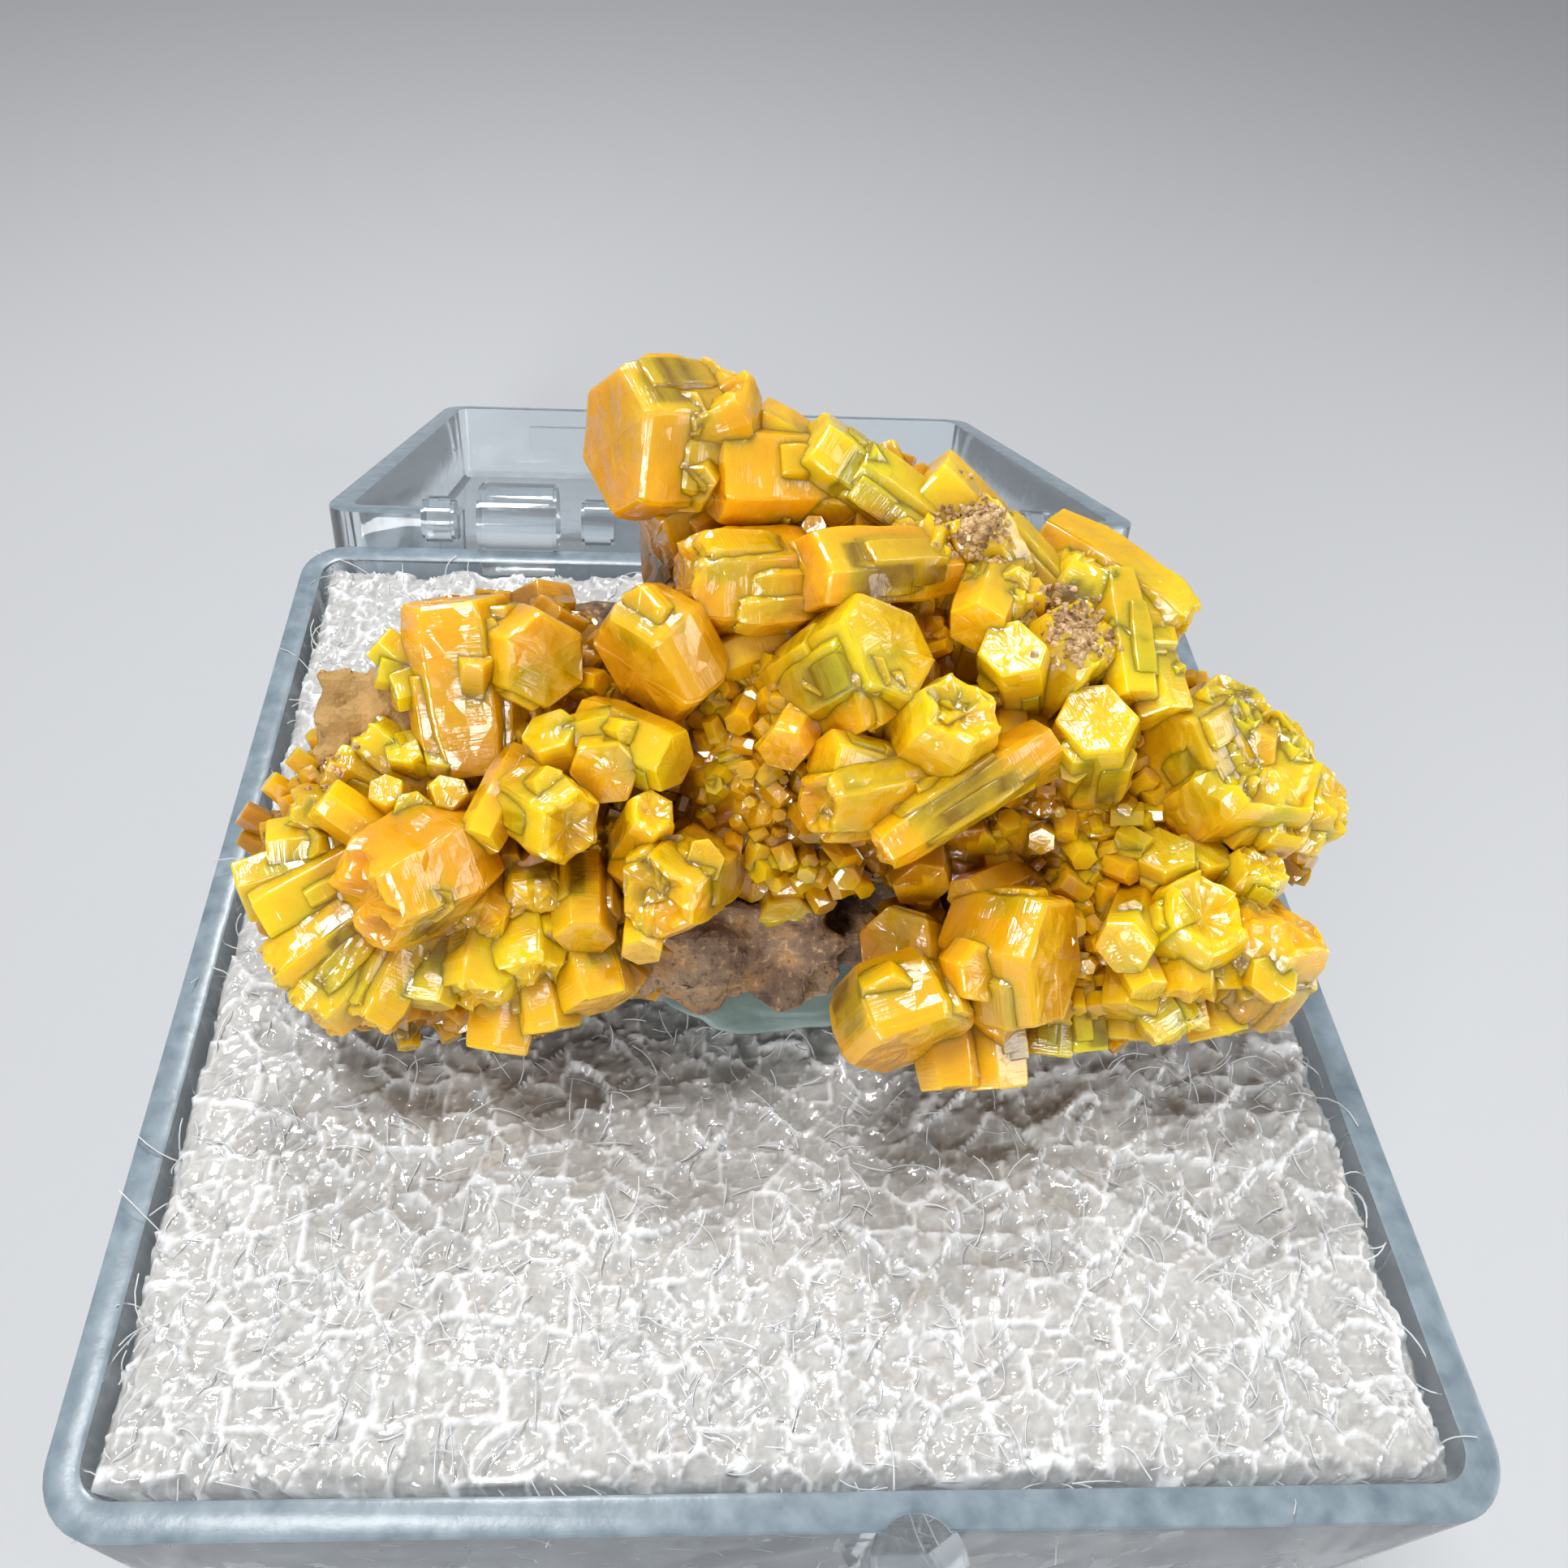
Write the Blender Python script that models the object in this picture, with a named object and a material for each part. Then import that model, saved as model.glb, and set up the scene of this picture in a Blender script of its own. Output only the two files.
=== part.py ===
"""Pyromorphite cluster fixed on foam in a small clear hinged box, lid open behind it.

World frame: origin at the middle of the box's underside, +X right, +Y towards the hinge, +Z up, metres.
"""
import math

import bmesh
import bpy
from mathutils import Matrix, Vector, noise

MM = 0.001

# Box, in millimetres
BOX_SIDE = 32.0
BASE_HEIGHT = 20.5
LID_HEIGHT = 5.0
WALL = 0.8
LID_WALL = 1.0
FLOOR = 1.0
CORNER_RADIUS = 1.6
CORNER_STEPS = 3
DRAFT = 0.25
SOFT_EDGE = 0.5
RIM_GAP = 0.3
HALF = BOX_SIDE / 2

# Hinge
HINGE_Y = 17.2
HINGE_Z = BASE_HEIGHT + 0.35
HINGE_SPREAD = 8.3
KNUCKLE_WIDTH = 2.9
KNUCKLE_RADIUS = 1.4
EAR_WIDTH = 0.9
EAR_RADIUS = 0.85
EAR_BITE = 0.3
EAR_GAP = 0.05
ROOT_INSET = 0.1
NOTCH_WIDTH = 6.5
NOTCH_HEIGHT = 1.8
OPEN_ANGLE = 206.4
BARREL_SIDES = 16

# Thumb catch on the base and lip on the lid
CATCH_X = 2.6
CATCH_RADIUS = 1.05
CATCH_DROP = 5.0
CATCH_Y = -16.6
CATCH_PROUD = 0.05
LIP_LEFT = -11.0
LIP_RIGHT = 3.0
LIP_LOW = 1.2
LIP_HIGH = 2.5
LIP_DEPTH = 0.5

# Foam block and the putty dab on it
FOAM_GAP = 0.7
FOAM_TOP = BASE_HEIGHT - 0.4
FOAM_CELLS = 14
FOAM_LUMP = 0.35
FOAM_SINK = 0.35
FOAM_RAGGED = 0.35
DIP_CENTRE = (0.0, -1.0)
DIP_RADIUS = 9.0
DIP_DEPTH = 1.3
PUTTY_CENTRE = (0.2, -1.4, BASE_HEIGHT - 0.35)
PUTTY_SIZE = (3.6, 2.5, 0.55)

# Display face of the specimen: u to the right, v up the slope, w out of the face, in millimetres
FACE_CENTRE = Vector((0.0, -1.5, BASE_HEIGHT + 6.5))
FACE_TILT = math.radians(50.0)
FACE_U = Vector((1.0, 0.0, 0.0))
FACE_V = Vector((0.0, math.sin(FACE_TILT), math.cos(FACE_TILT)))
FACE_W = Vector((0.0, -math.cos(FACE_TILT), math.sin(FACE_TILT)))
CLEARANCE = 0.3
ROCK_REST = 0.5
SLIM = 1.7
REACH = 30.0

# Crystals by region: name, free end (u, v, w), way it points (turn in the face, rise out of it, degrees),
# (width across flats, length), spin about its own axis, kind of end
CROWN = [
    ("crown_end", (-4.3, 8.6, 1.0), (190, 30), (3.2, 3.2), 0, "flat"),
    ("crown_top", (-2.3, 9.9, 1.4), (112, 50), (2.4, 2.8), 30, "hopper"),
    ("crown_low", (-2.7, 7.6, 1.0), (240, 20), (1.5, 2.2), 10, "flat"),
    ("stalk_back", (-1.0, 9.2, 0.0), (152, 10), (2.0, 4.6), 20, "flat"),
    ("stalk_bright", (0.3, 8.7, 0.8), (148, 20), (1.7, 3.4), 30, "flat"),
    ("stalk_side", (1.4, 8.1, 0.7), (150, 15), (1.6, 3.0), 5, "flat"),
    ("stalk_orange", (-1.9, 7.9, 0.8), (185, 18), (2.1, 3.8), 30, "flat"),
    ("neck_left", (-3.2, 6.6, -0.4), (212, 15), (1.8, 3.0), 0, "flat"),
    ("neck_mid", (-0.8, 6.8, 0.1), (250, 35), (2.0, 2.6), 15, "flat"),
    ("neck_right", (1.2, 6.8, 0.3), (262, 40), (1.8, 2.4), 30, "flat"),
]
UPPER_LEFT = [
    ("tall_prism", (-8.1, 4.9, 0.3), (98, 14), (2.2, 4.2), 10, "hopper"),
    ("tall_neighbour", (-7.2, 4.8, 0.3), (92, 12), (1.4, 4.0), 30, "flat"),
    ("tall_side", (-5.8, 3.4, 1.1), (335, 55), (2.2, 2.4), 0, "flat"),
    ("fan_small_a", (-9.9, 3.9, 0.0), (140, 15), (1.0, 2.4), 0, "flat"),
    ("fan_small_b", (-9.9, 3.2, 0.1), (172, 20), (1.0, 2.2), 20, "flat"),
    ("fan_small_c", (-9.5, 2.6, 0.2), (200, 20), (1.0, 2.0), 40, "flat"),
    ("nub_behind", (-7.2, 5.3, -0.8), (85, 10), (0.9, 2.2), 0, "flat"),
    ("lump_behind", (-5.4, 4.9, -1.0), (60, 10), (1.5, 2.6), 0, "flat"),
    ("banded_tablet", (-3.6, 3.1, 1.5), (225, 25), (2.7, 1.7), 0, "flat"),
    ("tablet_back", (-3.9, 4.8, 0.6), (130, 25), (1.2, 2.6), 30, "flat"),
]
LEFT = [
    ("slab_white", (-7.2, -0.9, 1.5), (248, 30), (1.0, 2.6), 30, "flat"),
    ("slab_left", (-10.9, 0.1, 1.1), (142, 15), (1.1, 2.2), 30, "flat"),
    ("druse_a", (-9.5, 0.3, 0.9), (95, 50), (0.9, 1.8), 0, "flat"),
    ("druse_b", (-8.8, -0.1, 1.1), (60, 55), (0.9, 1.8), 20, "flat"),
    ("druse_c", (-8.0, 0.3, 0.8), (70, 60), (0.9, 1.6), 40, "flat"),
    ("druse_d", (-9.2, 1.3, 0.3), (100, 55), (0.9, 1.6), 10, "flat"),
    ("druse_e", (-8.3, 1.3, 0.2), (80, 60), (0.9, 1.6), 30, "flat"),
    ("bumpy_barrel", (-9.7, -2.3, 1.9), (207, 42), (2.4, 3.0), 20, "hopper"),
    ("fan_a", (-12.3, -2.9, 0.8), (211, 15), (1.5, 3.6), 30, "flat"),
    ("fan_b", (-12.0, -4.1, 0.8), (218, 15), (1.8, 3.8), 0, "flat"),
    ("fan_c", (-11.2, -5.0, 0.7), (230, 15), (1.9, 3.8), 30, "flat"),
    ("fan_d", (-10.0, -5.2, 0.6), (245, 15), (1.8, 3.4), 0, "flat"),
    ("fan_e", (-8.7, -4.8, 0.6), (262, 22), (1.5, 2.8), 30, "flat"),
    ("fan_green", (-13.0, -2.2, 0.2), (198, 12), (1.6, 3.6), 0, "flat"),
    ("fan_top", (-12.4, -1.2, 0.1), (184, 12), (1.5, 3.2), 20, "flat"),
    ("edge_a", (-11.9, -0.2, 0.0), (165, 14), (1.4, 2.8), 40, "flat"),
    ("edge_b", (-11.1, 0.9, -0.2), (150, 14), (1.3, 2.6), 10, "flat"),
    ("edge_c", (-10.2, 1.7, -0.2), (135, 14), (1.2, 2.4), 30, "flat"),
    ("sheet_a", (-7.4, -4.6, 0.7), (262, 35), (1.8, 2.8), 10, "flat"),
    ("sheet_b", (-6.1, -4.2, 0.7), (278, 40), (1.8, 2.8), 40, "flat"),
    ("sheet_c", (-7.4, -3.0, 0.8), (260, 60), (1.7, 2.4), 0, "flat"),
    ("sheet_d", (-6.0, -2.6, 0.6), (275, 60), (1.7, 2.4), 30, "flat"),
    ("foot_a", (-6.9, -6.1, -0.3), (262, 10), (1.6, 3.4), 0, "flat"),
    ("foot_b", (-5.7, -5.6, -0.2), (282, 12), (1.7, 3.2), 30, "flat"),
    ("foot_c", (-4.4, -4.9, 0.0), (290, 22), (1.8, 3.0), 10, "flat"),
]
CENTRE_LEFT = [
    ("barrel_left", (-5.0, -0.6, 1.9), (330, 45), (1.9, 2.8), 0, "hopper"),
    ("stack_cube", (-5.6, 1.8, 1.2), (115, 45), (1.3, 2.4), 20, "flat"),
    ("stack_thin", (-4.1, 1.9, 1.3), (14, 20), (0.9, 1.8), 30, "flat"),
    ("stack_long", (-2.7, 1.0, 1.8), (335, 32), (1.5, 2.8), 30, "flat"),
    ("stack_body", (-4.3, 0.7, 1.7), (250, 60), (1.6, 2.8), 0, "flat"),
    ("hopper_mini", (-3.2, -0.1, 1.9), (60, 60), (1.2, 2.8), 30, "hopper"),
    ("hexagon_face", (-3.2, -2.0, 2.3), (207, 62), (2.1, 3.6), 0, "hopper"),
    ("hexagon_side", (-1.9, -1.8, 1.6), (345, 40), (1.6, 2.6), 30, "flat"),
    ("hexagon_low", (-3.4, -3.4, 1.7), (262, 40), (1.0, 2.6), 0, "flat"),
    ("filler_left", (-4.8, -3.2, 0.9), (275, 40), (1.5, 2.8), 20, "flat"),
]
CENTRE = [
    ("rough_barrel", (-2.5, 5.1, 1.2), (187, 18), (2.2, 3.8), 15, "flat"),
    ("block_orange", (0.3, 5.4, 1.9), (188, 22), (2.0, 3.8), 0, "flat"),
    ("block_yellow", (2.1, 3.75, 2.7), (32, 52), (2.7, 4.0), 20, "flat"),
    ("stacked_round", (0.6, 3.1, 2.6), (150, 55), (1.1, 2.4), 0, "flat"),
    ("pink_tablet", (0.8, 2.3, 2.5), (215, 32), (2.0, 2.2), 0, "flat"),
    ("yellow_cup", (3.7, 2.3, 3.1), (62, 55), (1.9, 4.0), 30, "hopper"),
    ("hexagon_small", (-0.25, 1.3, 2.1), (235, 40), (1.2, 3.0), 0, "flat"),
    ("lobe_long", (0.45, 0.1, 2.9), (190, 28), (1.7, 4.6), 0, "hopper"),
    ("lobe_top", (0.6, 1.1, 2.6), (165, 22), (1.3, 4.0), 30, "flat"),
    ("brown_prism", (1.9, -0.9, 2.7), (212, 8), (1.3, 4.8), 30, "flat"),
    ("grey_prism", (-1.7, 3.4, 0.9), (205, 15), (1.0, 3.0), 30, "flat"),
    ("columns", (-1.4, 2.4, 0.0), (265, 35), (2.0, 3.4), 10, "flat"),
    ("lump_cave", (-1.0, 0.3, 0.3), (270, 50), (2.0, 3.2), 0, "flat"),
    ("botryoid_a", (-0.6, -1.8, -1.0), (270, 60), (1.5, 2.6), 0, "flat"),
    ("botryoid_b", (0.9, -1.6, -0.8), (300, 60), (1.6, 2.8), 20, "flat"),
    ("botryoid_c", (0.3, -2.9, -1.2), (270, 50), (1.5, 2.8), 40, "flat"),
]
UPPER_RIGHT = [
    ("ridge", (3.3, 8.1, 0.2), (138, 10), (2.0, 5.6), 20, "flat"),
    ("ridge_red", (4.3, 7.1, 1.1), (125, 30), (1.5, 3.0), 0, "flat"),
    ("knob_yellow", (2.9, 6.5, 1.5), (100, 50), (1.6, 2.8), 30, "hopper"),
    ("green_block", (5.1, 5.5, 1.5), (80, 42), (1.9, 3.0), 15, "flat"),
    ("glare_block", (4.2, 4.2, 2.2), (240, 42), (1.4, 3.4), 30, "flat"),
    ("white_end", (4.9, 3.7, 2.7), (130, 62), (1.4, 3.6), 0, "flat"),
    ("dusty_block", (6.9, 4.2, 1.9), (60, 52), (2.1, 3.4), 30, "flat"),
    ("barrel_white", (7.0, 2.1, 2.4), (112, 58), (1.9, 3.4), 10, "flat"),
    ("hanging_a", (8.9, 2.2, 1.3), (282, 20), (1.5, 3.6), 0, "flat"),
    ("hanging_b", (8.1, 2.6, 1.7), (270, 22), (1.3, 3.4), 30, "flat"),
    ("cap_grey", (8.5, 4.6, 1.1), (72, 38), (1.8, 3.0), 0, "flat"),
    ("fin_a", (5.0, 0.6, 2.0), (262, 35), (1.2, 3.4), 30, "flat"),
    ("fin_b", (6.0, 0.8, 1.5), (282, 32), (1.0, 3.0), 0, "flat"),
    ("lobe_right", (9.7, 4.4, 0.3), (318, 22), (1.8, 4.2), 0, "flat"),
    ("lobe_mid", (9.3, 5.5, 0.0), (42, 15), (1.4, 3.4), 30, "flat"),
    ("lobe_upper", (7.9, 6.1, 0.0), (65, 18), (2.0, 3.4), 10, "flat"),
]
RIGHT_WING = [
    ("wing_plate", (11.5, 1.3, 1.5), (62, 60), (3.4, 3.0), 0, "flat"),
    ("wing_inner", (9.4, 1.1, 0.9), (205, 28), (2.6, 2.8), 30, "flat"),
    ("wing_top", (10.9, 2.8, 1.0), (72, 42), (1.9, 2.8), 30, "flat"),
    ("wing_mid", (12.5, 1.9, 0.8), (50, 40), (1.6, 2.6), 0, "flat"),
    ("wing_tip", (13.6, 0.4, 0.7), (15, 42), (1.8, 2.8), 20, "flat"),
    ("wing_low", (13.4, -0.7, 0.4), (325, 25), (1.4, 2.6), 0, "flat"),
    ("wing_foot", (11.7, -0.5, 1.1), (292, 42), (1.8, 3.0), 30, "flat"),
]
LOWER_RIGHT = [
    ("upright_tablet", (6.2, -3.45, 2.1), (355, 40), (3.0, 2.4), 0, "flat"),
    ("edge_tablet", (2.9, -5.5, 2.0), (288, 32), (2.7, 1.9), 30, "flat"),
    ("bottom_block", (3.9, -6.6, 1.4), (275, 18), (1.4, 3.4), 30, "flat"),
    ("bottom_prism", (5.1, -6.7, 0.9), (276, 12), (1.5, 3.6), 0, "flat"),
    ("orange_flat", (2.6, -3.2, 1.4), (150, 48), (2.0, 3.0), 10, "flat"),
    ("small_white", (3.6, -3.6, 1.9), (70, 40), (0.9, 2.4), 30, "flat"),
    ("small_orange", (4.2, -2.1, 1.3), (195, 40), (1.0, 2.6), 0, "flat"),
    ("group_hopper", (9.7, -2.3, 2.2), (85, 58), (2.3, 3.6), 0, "hopper"),
    ("group_top_a", (9.1, -0.9, 1.1), (110, 42), (1.4, 2.6), 30, "flat"),
    ("group_top_b", (10.2, -0.9, 1.0), (75, 42), (1.2, 2.6), 0, "flat"),
    ("group_top_c", (11.4, -1.2, 1.4), (70, 45), (1.5, 2.8), 20, "flat"),
    ("group_yellow", (7.8, -3.2, 2.0), (220, 52), (1.3, 3.0), 30, "flat"),
    ("group_point", (8.5, -4.2, 1.9), (282, 42), (0.9, 2.6), 0, "flat"),
    ("group_low", (9.5, -4.4, 1.7), (268, 25), (1.5, 3.4), 30, "flat"),
    ("lump_low", (9.6, -5.4, 1.1), (295, 25), (1.5, 3.0), 0, "flat"),
    ("lump_left", (8.3, -4.9, 1.0), (252, 25), (1.4, 2.8), 30, "flat"),
    ("barrel_corner", (11.8, -2.6, 1.8), (76, 40), (2.3, 3.2), 0, "flat"),
    ("barrel_under", (11.8, -4.6, 1.0), (280, 25), (2.0, 2.6), 0, "flat"),
    ("corner_chip", (10.9, -5.5, 0.4), (285, 15), (1.5, 3.2), 20, "flat"),
    ("fringe_a", (6.6, -6.1, 0.0), (265, 10), (1.3, 3.2), 0, "flat"),
    ("fringe_b", (7.6, -6.0, 0.0), (276, 10), (1.3, 3.2), 30, "flat"),
    ("fringe_c", (8.6, -5.7, 0.1), (268, 12), (1.2, 3.0), 15, "flat"),
    ("recess_a", (5.8, -1.0, 0.1), (270, 60), (1.8, 2.4), 0, "flat"),
    ("recess_b", (7.6, -0.8, 0.0), (60, 68), (1.8, 2.4), 20, "flat"),
    ("recess_c", (3.3, -1.9, 0.7), (262, 55), (1.4, 3.0), 30, "flat"),
    ("recess_d", (4.6, -1.2, 0.0), (250, 60), (1.6, 2.4), 0, "flat"),
]
BACK = [
    ("back_a", (-6.2, 5.4, -3.0), (100, -25), (1.8, 2.8), 0, "flat"),
    ("back_b", (-2.5, 7.6, -2.8), (95, -30), (2.0, 3.0), 30, "flat"),
    ("back_c", (1.3, 8.8, -2.8), (88, -30), (2.2, 3.4), 15, "hopper"),
    ("back_d", (5.0, 7.4, -2.6), (80, -30), (1.8, 3.0), 0, "flat"),
    ("back_e", (8.8, 5.0, -2.4), (55, -25), (2.0, 3.2), 30, "flat"),
    ("back_f", (12.0, 2.2, -2.0), (25, -22), (1.6, 2.8), 10, "flat"),
    ("back_g", (12.8, -1.6, -1.8), (350, -18), (1.6, 2.8), 0, "flat"),
    ("back_h", (-12.0, -0.8, -2.0), (178, -20), (1.6, 2.8), 20, "flat"),
]
CRYSTAL_TABLE = (CROWN + UPPER_LEFT + LEFT + CENTRE_LEFT + CENTRE + UPPER_RIGHT + RIGHT_WING + LOWER_RIGHT + BACK)

# Crystalline mass the crystals stand on: centre (u, v, w) and half sizes
MASS_LUMPS = [
    ("mass_left", (-7.4, -1.4, -2.0), (5.6, 4.4, 2.0)),
    ("mass_upper_left", (-6.6, 2.4, -1.8), (3.9, 3.0, 1.9)),
    ("mass_centre", (1.2, 2.6, -1.2), (5.4, 4.6, 2.4)),
    ("mass_top", (1.4, 7.2, -1.8), (3.6, 2.6, 1.7)),
    ("mass_right", (8.6, 0.6, -1.4), (5.0, 4.6, 2.3)),
    ("mass_lower_right", (7.4, -3.6, -0.9), (5.0, 2.6, 1.8)),
    ("mass_wing", (12.0, 0.2, -1.2), (2.4, 2.8, 1.5)),
]

# Rock under the crystals: centre (u, v, w) and half sizes of each lump
ROCK_LUMPS = [
    ("rock_slab", (-0.2, 0.4, -4.6), (11.4, 5.0, 1.9)),
    ("rock_top", (1.4, 5.0, -4.3), (5.0, 3.0, 1.6)),
    ("rock_left", (-10.0, 2.1, -2.3), (2.0, 1.5, 2.0)),
    ("rock_arch", (-1.4, -3.5, -2.6), (3.2, 1.5, 1.5)),
    ("rock_foot", (0.4, -0.8, -6.6), (6.0, 2.8, 2.2)),
]
ROCK_ROUGHNESS = 0.9
ROCK_SQUARENESS = 0.45
MASS_ROUGHNESS = 0.5
LUMP_DETAIL = 2
LUMP_NOISE = 2.3


def clear_scene():
    """Remove whatever the new file holds."""
    for item in list(bpy.data.objects):
        bpy.data.objects.remove(item, do_unlink=True)


def material(name, colour, roughness, transmission=0.0):
    """A plain Principled BSDF finish."""
    made = bpy.data.materials.new(name)
    made.use_nodes = True
    shader = made.node_tree.nodes["Principled BSDF"]
    shader.inputs["Base Color"].default_value = (*colour, 1.0)
    shader.inputs["Roughness"].default_value = roughness
    shader.inputs["Metallic"].default_value = 0.0
    shader.inputs["Transmission Weight"].default_value = transmission
    return made


def add_object(name, mesh_data, finish=None):
    """Link a mesh to the scene as a named object."""
    item = bpy.data.objects.new(name, mesh_data)
    bpy.context.scene.collection.objects.link(item)
    if finish:
        mesh_data.materials.append(finish)
    return item


def finish_bmesh(shape, name):
    """Turn a bmesh in millimetres into mesh data in metres with its faces pointing out."""
    bmesh.ops.recalc_face_normals(shape, faces=shape.faces)
    bmesh.ops.scale(shape, vec=(MM, MM, MM), verts=shape.verts)
    mesh_data = bpy.data.meshes.new(name)
    shape.to_mesh(mesh_data)
    shape.free()
    return mesh_data


def loft(name, rings):
    """Close a stack of rings with equal point counts into one solid, capped at both ends."""
    shape = bmesh.new()
    rows = [[shape.verts.new(point) for point in ring] for ring in rings]
    for lower, upper in zip(rows, rows[1:]):
        count = len(lower)
        for index in range(count):
            following = (index + 1) % count
            shape.faces.new((lower[index], lower[following], upper[following], upper[index]))
    shape.faces.new(rows[0])
    shape.faces.new(rows[-1])
    return add_object(name, finish_bmesh(shape, name))


def rounded_square(half, radius, height):
    """Points of a square with round corners, at one height."""
    points = []
    for corner in range(4):
        start = corner * math.pi / 2
        centre = Vector((half - radius, half - radius, 0.0))
        centre.rotate(Matrix.Rotation(start, 3, "Z"))
        for step in range(CORNER_STEPS + 1):
            angle = start + step * math.pi / 2 / CORNER_STEPS
            points.append((centre.x + radius * math.cos(angle), centre.y + radius * math.sin(angle), height))
    return points


def block(name, low, high):
    """A box between two corners."""
    shape = bmesh.new()
    bmesh.ops.create_cube(shape, size=1.0)
    size = [b - a for a, b in zip(low, high)]
    middle = [(a + b) / 2 for a, b in zip(low, high)]
    bmesh.ops.scale(shape, vec=size, verts=shape.verts)
    bmesh.ops.translate(shape, vec=middle, verts=shape.verts)
    return add_object(name, finish_bmesh(shape, name))


def cylinder(name, radius, start, end):
    """A round bar between two points."""
    start, end = Vector(start), Vector(end)
    shape = bmesh.new()
    bmesh.ops.create_cone(shape, cap_ends=True, segments=BARREL_SIDES, radius1=radius, radius2=radius,
                          depth=(end - start).length)
    turn = Vector((0.0, 0.0, 1.0)).rotation_difference(end - start)
    bmesh.ops.rotate(shape, cent=(0, 0, 0), matrix=turn.to_matrix(), verts=shape.verts)
    bmesh.ops.translate(shape, vec=(start + end) / 2, verts=shape.verts)
    return add_object(name, finish_bmesh(shape, name))


def combine(target, others, operation):
    """Unite with, or cut by, other objects, then drop them."""
    group = bpy.data.collections.new(target.name + "_group")
    bpy.context.scene.collection.children.link(group)
    for item in others:
        bpy.context.scene.collection.objects.unlink(item)
        group.objects.link(item)
    cut = target.modifiers.new("combine", "BOOLEAN")
    cut.operation = operation
    cut.operand_type = "COLLECTION"
    cut.collection = group
    cut.solver = "EXACT"
    result = bpy.data.meshes.new_from_object(target.evaluated_get(bpy.context.evaluated_depsgraph_get()))
    target.modifiers.remove(cut)
    target.data = result
    for item in others:
        bpy.data.objects.remove(item, do_unlink=True)
    bpy.data.collections.remove(group)


def tidy_mesh(item):
    """Weld the short edges that a cut leaves, keep the biggest body, and triangulate."""
    shape = bmesh.new()
    shape.from_mesh(item.data)
    bmesh.ops.remove_doubles(shape, verts=shape.verts, dist=0.004 * MM)
    bmesh.ops.dissolve_degenerate(shape, edges=shape.edges, dist=0.002 * MM)
    bmesh.ops.triangulate(shape, faces=shape.faces)
    keep_largest(shape)
    shape.to_mesh(item.data)
    shape.free()


def keep_largest(shape):
    """Delete every body but the one with the most faces."""
    left = set(shape.faces)
    bodies = []
    while left:
        body = set()
        front = [left.pop()]
        while front:
            face = front.pop()
            body.add(face)
            for edge in face.edges:
                for other in edge.link_faces:
                    if other in left:
                        left.remove(other)
                        front.append(other)
        bodies.append(body)
    largest = max(bodies, key=len)
    spare = [face for body in bodies if body is not largest for face in body]
    bmesh.ops.delete(shape, geom=spare, context="FACES")


def on_face(u, v, w):
    """World point, in millimetres, of a place on the display face."""
    return FACE_CENTRE + FACE_U * u + FACE_V * v + FACE_W * w


def way_on_face(turn, rise):
    """World direction that turns in the display face and rises out of it."""
    turn, rise = math.radians(turn), math.radians(rise)
    flat = FACE_U * math.cos(turn) + FACE_V * math.sin(turn)
    return (flat * math.cos(rise) + FACE_W * math.sin(rise)).normalized()


def crystal(name, tip, way, size, spin, end):
    """One six-sided barrel: its free end at the tip, its root inside the mass."""
    width, length = size
    radius = width / math.sqrt(3)
    outward = way_on_face(*way)
    side = (FACE_W - outward * FACE_W.dot(outward)).normalized()
    across = outward.cross(side)
    spin = math.radians(spin)
    profile = [(0.0, 0.86), (0.14, 1.0), (0.7, 1.0), (1.0, 0.8)]
    if end == "hopper":
        profile = [(0.2, 0.34), (0.0, 0.66)] + profile
    elif width < SLIM:
        profile = [(0.0, 0.9), (0.3, 1.0), (1.0, 0.8)]
    rings = []
    for depth, wide in profile:
        centre = on_face(*tip) - outward * depth * length
        ring = []
        for corner in range(6):
            angle = spin + corner * math.pi / 3
            ring.append(centre + (side * math.cos(angle) + across * math.sin(angle)) * radius * wide)
        rings.append(ring)
    return loft(name, rings)


def lump(name, centre, half_sizes, roughness, squareness=0.0, grow=0.0):
    """A rough ellipsoid, or with some squareness a rounded block, turned with the display face."""
    shape = bmesh.new()
    bmesh.ops.create_icosphere(shape, subdivisions=LUMP_DETAIL, radius=1.0)
    middle = on_face(*centre)
    for vert in shape.verts:
        vert.co /= max(abs(value) for value in vert.co) ** squareness
        bump = roughness * noise.noise(vert.co * LUMP_NOISE + middle)
        u, v, w = (vert.co[axis] * (half_sizes[axis] + bump + grow) for axis in range(3))
        vert.co = middle + FACE_U * u + FACE_V * v + FACE_W * w
    return add_object(name, finish_bmesh(shape, name))


def build_rock(name, grow):
    """The matrix, cut flat just above the foam; grown, it is the cutter that keeps the crystals clear of it."""
    rest = BASE_HEIGHT + ROCK_REST - grow
    lumps = []
    for part, centre, sizes in ROCK_LUMPS:
        lumps.append(lump(name + part, centre, sizes, ROCK_ROUGHNESS, ROCK_SQUARENESS, grow))
    rock = lumps[0]
    rock.name = name
    combine(rock, lumps[1:], "UNION")
    combine(rock, [block("ground", (-REACH, -REACH, 0), (REACH, REACH, rest))], "DIFFERENCE")
    tidy_mesh(rock)
    return rock


def build_crystals(finish):
    """Every crystal and the mass they stand on, as one solid, clear of the matrix."""
    lumps = [lump(part, centre, sizes, MASS_ROUGHNESS) for part, centre, sizes in MASS_LUMPS]
    prisms = [crystal(*row) for row in CRYSTAL_TABLE]
    cluster = lumps[0]
    cluster.name = "crystals"
    combine(cluster, lumps[1:] + prisms, "UNION")
    ground = block("ground", (-REACH, -REACH, 0), (REACH, REACH, BASE_HEIGHT + CLEARANCE))
    combine(cluster, [build_rock("rock_cutter", CLEARANCE), ground], "DIFFERENCE")
    tidy_mesh(cluster)
    cluster.data.materials.clear()
    cluster.data.materials.append(finish)
    return cluster


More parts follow.
